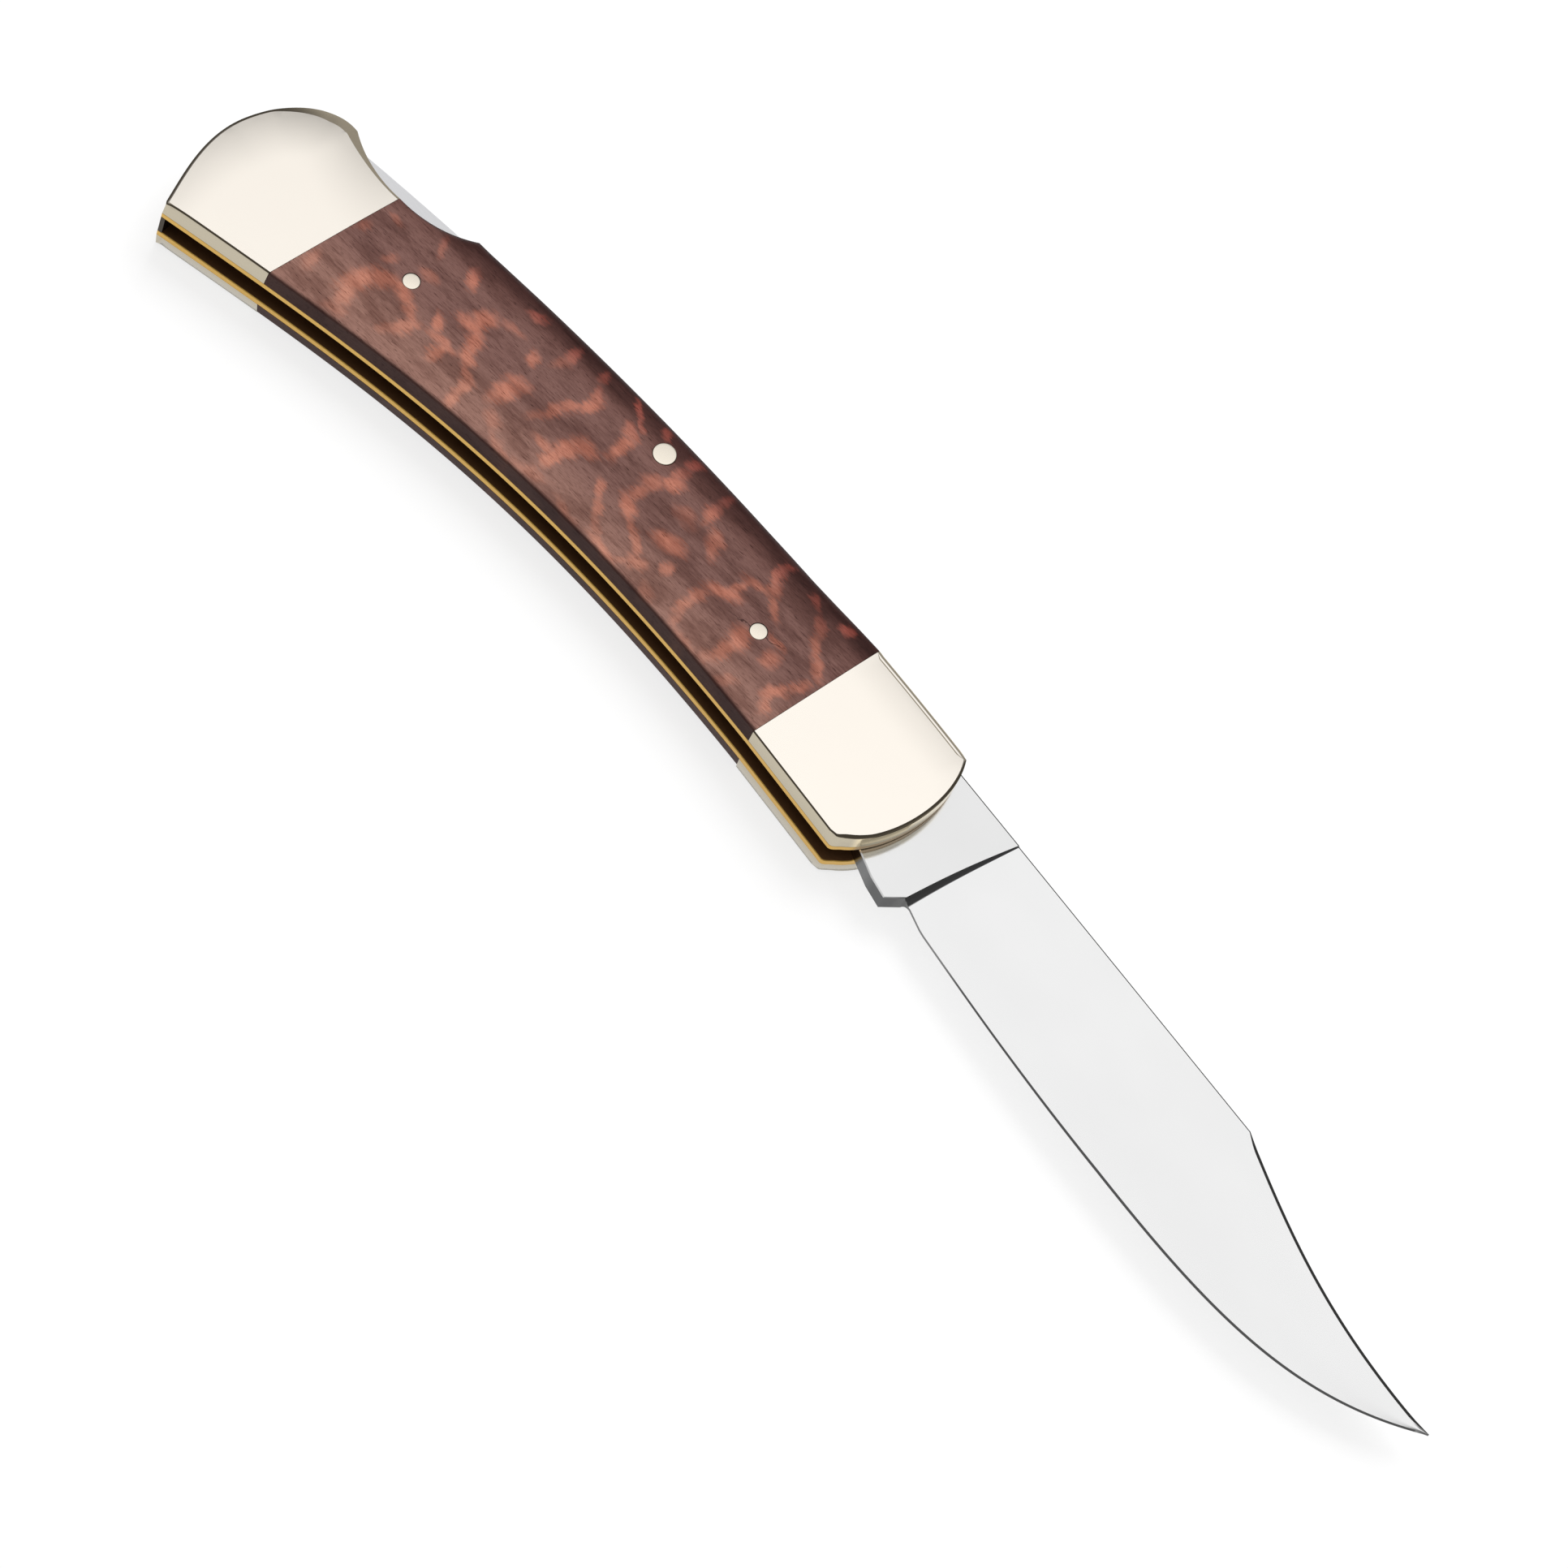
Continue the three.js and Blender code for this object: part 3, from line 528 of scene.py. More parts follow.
def crowned_face(loop, hole_loops, drop_at):
    """Points and triangles over a loop, less round holes, sunk by drop_at below the level of the top."""
    lines = [loop] + hole_loops
    places = [tuple(p) for line in lines for p in line]
    edges = []
    start = 0
    for line in lines:
        edges += [(start + a, start + b) for a, b in lines_round([0], len(line))]
        start += len(line)
    fixed = np.array(places)
    xs = np.arange(fixed[:, 0].min() + FACE_SPACING / 2, fixed[:, 0].max(), FACE_SPACING)
    ys = np.arange(fixed[:, 1].min(), fixed[:, 1].max(), FACE_SPACING)
    grid = np.array([(x + (row % 2) * FACE_SPACING / 2, y) for row, y in enumerate(ys) for x in xs])
    nearest = np.sqrt(((grid[:, None, :] - fixed[None]) ** 2).sum(2)).min(1)
    grid = grid[nearest > FACE_SPACING * FACE_CLEAR]
    points = [Vector(p) for p in places] + [Vector(p) for p in grid]
    result = delaunay_2d_cdt(points, edges, [], 1, 1e-7)
    old = [sources[0] for sources in result[3]]
    triangles = []
    centres = [np.mean(line, axis=0) for line in hole_loops]
    radii = [np.hypot(*(np.array(line[0]) - centre)) for line, centre in zip(hole_loops, centres)]
    for face in result[2]:
        middle = np.mean([points[old[i]][:] for i in face], axis=0)
        if all(np.hypot(*(middle - centre)) > radius for centre, radius in zip(centres, radii)):
            triangles.append([old[i] for i in face])
    everything = np.array([p[:] for p in points])
    heights = TOP - drop_at(everything)
    return [(x, y, z) for (x, y), z in zip(everything, heights)], triangles


def cover_plate(outline, holes=()):
    """A right-hand cover: leaning wall, broken edge and a softly crowned face with round holes."""
    places = np.array([(rim.x, rim.y) for rim in outline])
    steps = inward(places, [rim.seam for rim in outline])
    keys = ("edge", "drop", "rounding", "crown", "bend", "lean")
    columns = (np.array([getattr(rim, key) for rim in outline], float) for key in keys)
    edge, drop, rounding, crown, bend, lean = columns
    ledge = np.array([rim.ledge and not rim.seam for rim in outline], float)

    def spread(inset, height):
        return places + steps * (inset + lean * BELLY_LEAN * height)[:, None]

    inner = spread(edge + ledge * (LEDGE + STEP), np.full(len(outline), COVER))
    crowned = crown > 0

    def crown_drop(points):
        reach = crown[crowned] - np.sqrt(((points[:, None, :] - inner[None, crowned]) ** 2).sum(2))
        return (bend[crowned] / 2 * np.maximum(0, reach) ** 2).max(1)

    level = COVER - crown_drop(inner)
    step = level - ledge * STEP * STEP_DROP
    top_of_edge = step - ledge * LEDGE * LEDGE_DROP
    count = len(outline)
    rings = [np.column_stack([places, np.full(count, COVER_HIGH)])]
    for k in range(EDGE_STEPS + 1):
        t = k / EDGE_STEPS
        inset = edge * (rounding * (1 - cos(t * pi / 2)) + (1 - rounding) * t)
        fall = edge * drop * (rounding * (1 - sin(t * pi / 2)) + (1 - rounding) * (1 - t))
        height = top_of_edge - fall
        rings.append(np.column_stack([spread(inset, height), COVER_HIGH + height]))
    rings.append(np.column_stack([spread(edge + ledge * LEDGE, step), COVER_HIGH + step]))
    rings.append(np.column_stack([inner, COVER_HIGH + level]))
    # The lines of the top three rings are shaded crisp, except where the edge is round
    crisp = [(a, b) for a, b in lines_round(range(len(rings) - 3, len(rings)), count)
             if rounding[a % count] < 0.5]
    vertices = [tuple(p) for ring in rings[:-1] for p in ring]
    faces = skin(len(rings), count)
    circles = [[p[:2] for p in circle(place, place[2] + PIN_RING, 0)] for place in holes]
    top, triangles = crowned_face([tuple(p) for p in rings[-1][:, :2]], circles, crown_drop)
    start = len(vertices)
    vertices += top
    faces += [tuple(start + i for i in triangle) for triangle in triangles]
    low_loops = [range(count)]
    high = start + count
    for line in circles:
        low = len(vertices)
        vertices += [(x, y, COVER_HIGH) for x, y in line]
        low_loops.append(range(low, low + SIDES))
        faces += bore(low, high)
        high += SIDES
    faces += cap(vertices, low_loops, upward=False)
    return vertices, faces, crisp


def slab(outline, low, high, chamfer, holes=()):
    """A plate with both edges broken."""
    places = np.array(outline, float)
    steps = inward(places)
    rings = []
    for inset, z in ((chamfer, low), (0, low + chamfer), (0, high - chamfer), (chamfer, high)):
        rings.append(np.column_stack([places + steps * inset, np.full(len(places), z)]))
    return stack(rings, holes)


def turned_pin(place, low, high, domed_low):
    """A pin with a softly domed upper head, and a lower one like it or a flat end."""
    x, y, radius = place

    def head(level, sign):
        profile = []
        for k in range(PIN_ROUND_STEPS + 1):
            angle = k / PIN_ROUND_STEPS * pi / 2
            profile.append((radius - PIN_ROUND * (1 - cos(angle)),
                            level - sign * (PIN_DOME + PIN_ROUND * PIN_ROUND_DROP * (1 - sin(angle)))))
        for k in range(1, PIN_DOME_STEPS):
            r = (radius - PIN_ROUND) * (1 - k / PIN_DOME_STEPS)
            profile.append((r, level - sign * PIN_DOME * (r / (radius - PIN_ROUND)) ** 2))
        return profile

    lower = head(low, -1)[::-1] if domed_low else [(radius, low)]
    rings = [circle(place, r, z) for r, z in lower + head(high, 1)]
    vertices = [p for ring in rings for p in ring]
    faces = skin(len(rings), SIDES)
    faces += [(b, a, len(vertices)) for a, b in lines_round([0], SIDES)]
    faces += [(a, b, len(vertices) + 1) for a, b in lines_round([len(rings) - 1], SIDES)]
    return vertices + [(x, y, low), (x, y, high)], faces


def to_left(shape):
    """The same shape on the left side."""
    vertices, faces, *crisp = shape
    return [(x, y, TOP - z) for x, y, z in vertices], [face[::-1] for face in faces], *crisp


def add(name, data):
    thing = bpy.data.objects.new(name, data)
    bpy.context.scene.collection.objects.link(thing)
    return thing


def piece(name, shape, finish, body, node, sharp=SHARP):
    vertices, faces, *crisp = shape
    mesh = bpy.data.meshes.new(name)
    mesh.from_pydata([(x * MM, y * MM, z * MM) for x, y, z in vertices], [], faces)
    clean = bmesh.new()
    clean.from_mesh(mesh)
    clean.verts.ensure_lookup_table()
    for i, j in sum(crisp, []):
        edge = clean.edges.get((clean.verts[i], clean.verts[j]))
        if edge:
            edge.smooth = False
    bmesh.ops.remove_doubles(clean, verts=clean.verts, dist=1e-7)
    bmesh.ops.dissolve_degenerate(clean, edges=clean.edges, dist=1e-8)
    clean.to_mesh(mesh)
    clean.free()
    kept = [edge.use_edge_sharp for edge in mesh.edges]
    mesh.shade_smooth()
    mesh.set_sharp_from_angle(angle=radians(sharp))
    for edge, crisp_edge in zip(mesh.edges, kept):
        edge.use_edge_sharp = edge.use_edge_sharp or crisp_edge
    mesh.materials.append(finish)
    thing = add(name, mesh)
    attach(thing, body)
    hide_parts(node)


def cut(shape, cutter):
    """A closed shape less another."""
    things = []
    for vertices, faces in (shape, cutter):
        mesh = bpy.data.meshes.new("blank")
        mesh.from_pydata(vertices, [], faces)
        things.append(add("blank", mesh))
    modifier = things[0].modifiers.new("cut", "BOOLEAN")
    modifier.object = things[1]
    modifier.operation = "DIFFERENCE"
    modifier.solver = "EXACT"
    bpy.context.view_layer.update()
    left = things[0].evaluated_get(bpy.context.evaluated_depsgraph_get()).to_mesh()
    result = [tuple(vertex.co) for vertex in left.vertices], [tuple(face.vertices) for face in left.polygons]
    for thing in things:
        bpy.data.objects.remove(thing)
    return result


# Blade

def blade_top(x):
    return BLADE_SPINE if x <= CLIP_START else float(np.interp(x, clip_curve[:, 0], clip_curve[:, 1]))


tang_leave = (CAM_RADIUS * cos(TANG_TURN), CAM_RADIUS * sin(TANG_TURN))
tang_underside = np.array([tang_leave, KICK_BEND, KICK, (PLUNGE_BOTTOM, -CHOIL_HEIGHT), HEEL])


def blade_bottom(x):
    if x < tang_leave[0]:
        return -sqrt(max(0, CAM_RADIUS ** 2 - x ** 2))
    if x < HEEL[0]:
        return float(np.interp(x, tang_underside[:, 0], tang_underside[:, 1]))
    if x < BELLY_START:
        t = (x - HEEL[0]) / (BELLY_START - HEEL[0])
        return ramp(HEEL[1], -BLADE_EDGE, sin(t * pi / 2))
    return float(np.interp(x, edge_curve[:, 0], edge_curve[:, 1]))


def grind_half(x):
    if x <= CLIP_START:
        return ramp(GRIND_SPINE, CLIP_THICKNESS, (x - PLUNGE_TOP) / (CLIP_START - PLUNGE_TOP)) / 2
    return ramp(CLIP_THICKNESS, TIP_THICKNESS, (x - CLIP_START) / (TIP[0] - CLIP_START)) / 2


def blade_section(low_x, high_x, wall, follow):
    """Half a cross-section, from the spine down to the edge. wall runs from 0 on the tang, over the plunge
    line's wall, to 1 on the ground face; follow is how far the section keeps the plunge line's form."""
    top = blade_top(high_x)
    bottom = min(blade_bottom(low_x), top - SLIVER)
    height = top - bottom
    # The plunge wall drops steeply from the tang and runs out softly into the grind
    deep = 1 - (1 - wall) ** 3
    ground = grind_half(high_x)
    facet = ramp(HEEL_FACET, EDGE_FACET, (low_x - HEEL[0]) / (BELLY_START - HEEL[0]))
    foot = min(ramp(SPINE_BREAK, facet, deep), height / 4)
    brow = min(ramp(SPINE_BREAK, CLIP_FACET, (high_x - CLIP_START) / CLIP_EASE), height / 4)
    shoulder = min(EDGE_THICKNESS / 2, ground)

    def half_at(down):
        across = min(1, max(0, (down - brow) / (height - foot - brow)))
        thin = ramp(ground, shoulder, across) * (1 - (1 - HOLLOW) * sin(pi * across))
        return BLADE_HALF + (thin - BLADE_HALF) * deep

    profile = [(0, max(CREST_HALF, half_at(brow) - brow * FACET_SLOPE))]
    for k in range(FACE_STEPS + 1):
        down = brow + (height - foot - brow) * k / FACE_STEPS
        profile.append((down, half_at(down)))
    profile.append((height, ramp(TANG_EDGE_HALF, SLIVER, deep)))
    points = []
    for down, half in profile:
        share = down / height
        width = PLUNGE_WIDTH * ramp(PLUNGE_NARROW, 1, share)
        shift = width * wall * follow - PLUNGE_BOW * follow * sin(pi * share)
        points.append((ramp(high_x, low_x, share) + shift, top - down, half))
    return points


def blade_shape():
    def upright(x, top):
        """Half a section across the tang, with both its edges broken."""
        bottom = blade_bottom(x)
        ys = top - SPINE_BREAK + (bottom - top + 2 * SPINE_BREAK) * np.linspace(0, 1, FACE_STEPS + 1)
        return [(x, top, TANG_EDGE_HALF), *((x, y, BLADE_HALF) for y in ys), (x, bottom, TANG_EDGE_HALF)]

    cam = (STOP_WALL + CAM_RADIUS) * np.linspace(0.02, 0.99, CAM_SECTIONS) - CAM_RADIUS
    sections = [upright(x, -blade_bottom(x)) for x in [*cam, STOP_WALL]]
    tang = [STOP_WALL + SLIVER, *np.linspace(STOP_WALL, tang_leave[0], CAM_SECTIONS + 2)[1:],
            *np.linspace(tang_leave[0], KICK_BEND[0], CAM_SECTIONS)[1:]]
    sections += [upright(x, blade_top(x)) for x in tang]
    lean = PLUNGE_TOP - PLUNGE_BOTTOM
    for x in [*np.linspace(KICK_BEND[0], KICK[0], KICK_SECTIONS)[1:],
              *np.linspace(KICK[0], PLUNGE_BOTTOM, KICK_SECTIONS)[1:-1]]:
        fade = (x - KICK_BEND[0]) / (PLUNGE_BOTTOM - KICK_BEND[0])
        sections.append(blade_section(x, x + lean * fade, 0, fade))
    for wall in np.linspace(0, 1, PLUNGE_SECTIONS):
        sections.append(blade_section(PLUNGE_BOTTOM, PLUNGE_TOP, wall, 1))
    for x in [*np.arange(PLUNGE_BOTTOM + 1, CLIP_START), *np.arange(CLIP_START, TIP[0] - 1, CLIP_STEP),
              *np.subtract(TIP[0], LAST_STEPS)]:
        follow = max(0, 1 - (x - PLUNGE_BOTTOM) / PLUNGE_FADE)
        sections.append(blade_section(x, x + lean * follow, 1, follow))
    count = len(sections[0])
    vertices = []
    for section in sections:
        vertices += [(x, y, MIDDLE + half) for x, y, half in section]
        vertices += [(x, y, MIDDLE - half) for x, y, half in reversed(section)]
    size = 2 * count
    faces = skin(len(sections), size)
    last = (len(sections) - 1) * size
    for i in range(count - 1):
        faces.append((i, size - 1 - i, size - 2 - i, i + 1))
        faces.append((last + i, last + i + 1, last + size - 2 - i, last + size - 1 - i))
    return vertices, faces


def nail_nick():
    """The hollow cut for a thumbnail in the left face: half of a long, shallow egg."""
    level = MIDDLE - grind_half(NICK[0]) * NICK_SINK
    turns = [2 * pi * i / NICK_SIDES for i in range(NICK_SIDES)]
    rings = []
    for k in range(1, NICK_LEVELS):
        angle = pi * (k / NICK_LEVELS - 0.5)
        rings.append([(NICK[0] + NICK_SIZE[0] / 2 * cos(angle) * cos(turn),
                       NICK[1] + NICK_SIZE[1] / 2 * cos(angle) * sin(turn),
                       level + NICK_SIZE[2] * sin(angle)) for turn in turns])
    return stack(rings)


def dressed_blade():
    ends = (MIDDLE - BORE_REACH, MIDDLE + BORE_REACH)
    rod = stack([circle(PIVOT, PIVOT[2] + PIVOT_CLEARANCE, z) for z in ends])
    return cut(cut(blade_shape(), nail_nick()), rod)


# Lock bar

def lock_bar_outline():
    def over(x):
        return float(spine_arc(x)) - BAR_INSET

    def under(x):
        return over(x) - ramp(*ARM_DEPTH, (ARM_TAPER - x) / (ARM_TAPER - BAR_END))

    front = STOP_WALL - STOP_GAP
    nose = front - BAR_NOSE[0]
    relief = nose - RELIEF[0]
    rear = LOCK_PIN[0] - BOSS_HALF
    boss = LOCK_PIN[1] - BOSS_DEPTH
    top = [(x, over(x)) for x in np.linspace(front, BAR_END, BAR_POINTS)]
    arm = [(x, under(x)) for x in np.linspace(BAR_END, LOCK_PIN[0] - ARM_START, ARM_POINTS)]
    rest = [(rear, boss + BOSS_ROUND[1]), (rear + BOSS_ROUND[0], boss),
            (LOCK_PIN[0] + BOSS_HALF, boss + BOSS_RISE), KICK_LAND, (relief - RELIEF_SLOPE, KICK_LAND[1]),
            (relief, RELIEF[1]), (nose - RELIEF_SLOPE, RELIEF[1]), (nose, BAR_NOSE[1]), (front, BAR_NOSE[1])]
    return top + arm + rest


# Finishes

def operator(kind, reflected=False):
    """An arithmetic method that adds a Math node of this kind."""
    def method(self, other):
        return self.nodes.math(kind, *((other, self) if reflected else (self, other)))
    return method


class Wire:
    """What flows out of a shader node; arithmetic on it adds Math nodes."""

    def __init__(self, nodes, socket):
        self.nodes = nodes
        self.socket = socket

    __add__, __radd__ = operator("ADD"), operator("ADD", True)
    __sub__, __rsub__ = operator("SUBTRACT"), operator("SUBTRACT", True)
    __mul__, __rmul__ = operator("MULTIPLY"), operator("MULTIPLY", True)
    __truediv__, __rtruediv__ = operator("DIVIDE"), operator("DIVIDE", True)


class Nodes:
    """The shader nodes of a finish or of the sky."""

    def __init__(self, tree):
        self.tree = tree

    def feed(self, socket, value):
        if isinstance(value, Wire):
            self.tree.links.new(value.socket, socket)
        else:
            socket.default_value = value

    def node(self, kind, settings=None, values=None, output=0):
        node = self.tree.nodes.new("ShaderNode" + kind)
        for key, value in (settings or {}).items():
            setattr(node, key, value)
        for key, value in (values or {}).items():
            self.feed(node.inputs[key], value)
        return Wire(self, node.outputs[output])

    def math(self, operation, *values):
        return self.node("Math", {"operation": operation}, dict(enumerate(values)))

    def vector(self, operation, *values, output=0):
        return self.node("VectorMath", {"operation": operation}, dict(enumerate(values)), output)

    def band(self, value, low, high):
        """0 at low, 1 at high, and smooth between them."""
        return self.node("MapRange", {"interpolation_type": "SMOOTHSTEP"},
                         {"Value": value, "From Min": low, "From Max": high})

    def split(self, vector):
        return [self.node("SeparateXYZ", None, {0: vector}, k) for k in range(3)]


class Finish(Nodes):
    """A material, painted by nodes."""

    def __init__(self, name, constants):
        self.material = bpy.data.materials.new(name)
        self.material.use_nodes = True
        super().__init__(self.material.node_tree)
        self.surface = self.tree.nodes["Principled BSDF"]
        for key, value in constants.items():
            self.surface.inputs[key].default_value = value
        self.place = self.node("VectorMath", {"operation": "SCALE"},
                               {0: self.node("TexCoord", output="Object"), "Scale": 1 / MM})

    def mix(self, share, first, second, blend="MIX"):
        return self.node("Mix", {"data_type": "RGBA", "blend_type": blend},
                         {0: share, 6: first, 7: second}, 2)

    def stretch(self, size, turn=0.0, shift=(0, 0, 0), place=None):
        """Places measured in steps of size, in millimetres, along axes turned about Z and moved by shift."""
        return self.node("Mapping", {"vector_type": "TEXTURE"},
                         {"Vector": place or self.place, "Scale": size, "Rotation": (0, 0, radians(turn)),
                          "Location": shift})

    def noise(self, vector, detail, roughness=0.5, output=0):
        return self.node("TexNoise", None, {"Vector": vector, "Scale": 1.0, "Detail": detail,
                                            "Roughness": roughness}, output)

    def bump(self, height, strength, distance):
        return self.node("Bump", None, {"Height": height, "Strength": strength, "Distance": distance * MM})

    def facing(self):
        """How far a face points to the tip, how far to the spine, and how level it is, 0 on a wall to 1."""
        forward, upward, out = self.split(self.node("TexCoord", output="Normal"))
        return forward, upward, self.math("ABSOLUTE", out)

    def paint(self, *values):
        """Feed the colour, and then the roughness and the normal where they are given."""
        for key, value in zip(("Base Color", "Roughness", "Normal"), values):
            self.feed(self.surface.inputs[key], value)
        return self.material


def colour(red, green, blue):
    """A screen colour of 0 to 255, as light."""
    parts = (value / 255 for value in (red, green, blue))
    return (*(part / 12.92 if part <= 0.04045 else ((part + 0.055) / 1.055) ** 2.4 for part in parts), 1)


def nickel_silver(name, bright, side):
    """Polished metal, with painted shade and light: its broken edges are painted dark, and pale where they
    face the spine; its walls are painted in side's darker colour as painted shade, and paler over the tang as
    a painted reflection of the blade.
    """
    finish = Finish(name, {"Metallic": 1.0})
    forward, upward, level = finish.facing()
    wipe = finish.noise(finish.stretch((5, 0.9, 0.9), 25), 3, 0.6)
    fine = finish.noise(finish.stretch((1.6, 0.05, 0.05), 12), 3, 0.7)
    # Painted shade and light: broken edges are painted dark brown-grey, and pale where they face the spine
    spine_edge_painted_light = finish.band(upward, 0.2, 0.42) * finish.band(forward, 0.3, 0.1)
    broken = finish.mix(spine_edge_painted_light, colour(104, 95, 80), colour(226, 212, 186))
    tint = finish.mix(finish.band(level, 0.9, 0.99), broken, colour(*bright))
    # Painted shade and reflection: walls take side's darker colour, and over the tang a pale colour that
    # stands in for the blade's reflection
    x, _, z = finish.split(finish.place)
    painted_reflection_over_tang = finish.band(x, TANG_EXIT - 0.5, TANG_EXIT + 0.5) * finish.band(z, MIDDLE, MIDDLE + 1)
    side = finish.mix(painted_reflection_over_tang, colour(*side), colour(255, 238, 200))
    tint = finish.mix(finish.band(level, 0.5, 0.3), tint, side)
    roughness = 0.1 + fine * 0.06 + wipe * 0.04
    return finish.paint(tint, roughness, finish.bump(fine, 0.03, 0.02))


def blade_steel():
    finish = Finish("satin blade steel", {"Metallic": 1.0})
    mix, band = finish.mix, finish.band
    forward, upward, level = finish.facing()
    x, y, z = finish.split(finish.place)
    across = finish.noise(finish.stretch((0.06, 5, 5), -8), 4, 0.6)
    soft = finish.noise(finish.stretch((14, 9, 9)), 2, 0.5)
    tint = mix(soft, colour(225, 225, 225), colour(231, 231, 231))
    # Painted shade: the blade's walls are painted dark grey, a little lighter where they face away from the
    # tip
    side = mix(band(forward, -0.1, -0.3), colour(74, 74, 75), colour(104, 105, 106))
    tint = mix(band(level, 0.5, 0.3), tint, side)
    # Painted shade: from the plunge on, faces that tilt away from level, such as the plunge wall and the
    # bevels, are painted dark grey
    ground = band(level, 0.985, 0.93) * band(x, PLUNGE_BOTTOM - 1, PLUNGE_BOTTOM)
    tint = mix(ground, tint, colour(92, 92, 92))
    # Painted shade: facets that face the spine are painted dark, and the edge's facets that face the belly
    # grey
    tint = mix(band(upward, 0.2, 0.4), tint, colour(76, 76, 75))
    edge = band(upward, -0.2, -0.4) * band(level, 0.3, 0.5) * band(x, PLUNGE_BOTTOM, PLUNGE_BOTTOM + 1)
    tint = mix(edge, tint, colour(130, 130, 130))
    # Painted shadow: a grey crescent on the ricasso beside the bolster's nose stands in for the nose's shadow
    flat = finish.node("CombineXYZ", None, {0: x, 1: y})
    from_nose = finish.vector("DISTANCE", flat, (*NOSE_SHADOW_CENTRE, 0), output="Value")
    painted_nose_shadow = band(from_nose, NOSE_SHADOW_RADIUS + 0.2, NOSE_SHADOW_RADIUS - 0.3) * band(level, 0.9, 0.99)
    tint = mix(painted_nose_shadow * band(z, MIDDLE, MIDDLE + 1) * 0.9, tint, colour(158, 161, 166))
    return finish.paint(tint, 0.12 + across * 0.05, finish.bump(across, 0.02, 0.01))


def brushed_steel(name, grain, detail, dark, pale, smooth, spread, strength):
    """Steel with a grain along the knife; its roughness runs from smooth up by spread."""
    finish = Finish(name, {"Metallic": 1.0})
    along = finish.noise(finish.stretch(grain), detail, 0.6)
    tint = finish.mix(along, colour(*dark), colour(*pale))
    return finish.paint(tint, smooth + along * spread, finish.bump(along, strength, 0.03))


def liner_brass():
    finish = Finish("satin brass", {"Metallic": 1.0})
    along = finish.noise(finish.stretch((2, 0.11, 0.11)), 3, 0.6)
    bright = finish.mix(along, colour(196, 150, 64), colour(226, 188, 104))
    # Painted shade: the liners' flat faces, which face into the shaded slot, are painted dark brown
    inside = finish.band(finish.facing()[2], 0.9, 0.99)
    x, _, z = finish.split(finish.place)
    # Painted light: the liners' walls over the tang are painted pale, as a painted reflection of the blade
    nose = finish.band(x, TANG_EXIT, TANG_EXIT + 0.3) * finish.band(z, MIDDLE, MIDDLE + 1) * (1.0 - inside)
    tint = finish.mix(inside, bright, colour(130, 96, 66))
    tint = finish.mix(nose, tint, colour(236, 204, 156))
    return finish.paint(tint, 0.24 + along * 0.14 + inside * 0.2, finish.bump(along, 0.1, 0.03))


# Figure of the wood: each mark has its middle, half its length and width, and its turn in degrees

STRONG_MARKS = (
    (-87.6, -12.8, 2.6, 1.3, 80), (-86.2, -10.2, 1.8, 1.0, 40), (-83.2, -9.3, 2.2, 0.7, -5),
    (-80.1, -0.1, 1.3, 0.75, -55), (-74.3, -2.9, 1.6, 1.1, 80), (-74.8, -4.6, 1.7, 0.9, 10),
    (-72.4, -5.9, 1.8, 0.9, -50), (-71.3, -7.8, 1.2, 0.9, -30), (-77.1, -8.1, 1.2, 0.65, -50),
    (-74.0, -10.8, 1.4, 0.8, 90), (-64.8, -6.8, 1.9, 1.2, 80), (-57.3, 1.3, 1.4, 0.8, 70),
    (-53.5, 6.8, 1.5, 0.35, -22), (-50.4, 1.2, 1.9, 0.8, -85), (-42.7, 3.5, 1.3, 0.8, 60),
    (-43.2, -3.4, 1.6, 0.8, -25), (-53.0, -3.0, 1.5, 1.0, 20), (-53.9, -5.2, 1.8, 1.0, 75),
    (-54.1, -7.6, 1.5, 0.9, 85), (-36.3, -2.3, 1.9, 1.0, 20), (-36.6, 5.2, 1.4, 0.8, -60),
    (-25.0, 7.0, 1.5, 0.7, -65), (-27.0, -0.6, 2.0, 0.8, 35), (-21.0, -3.0, 1.5, 1.1, -40),
    (-20.8, -5.6, 1.9, 0.9, 90), (-12.5, -3.8, 1.5, 0.8, 60), (-14.2, 9.6, 0.9, 0.55, 10),
)
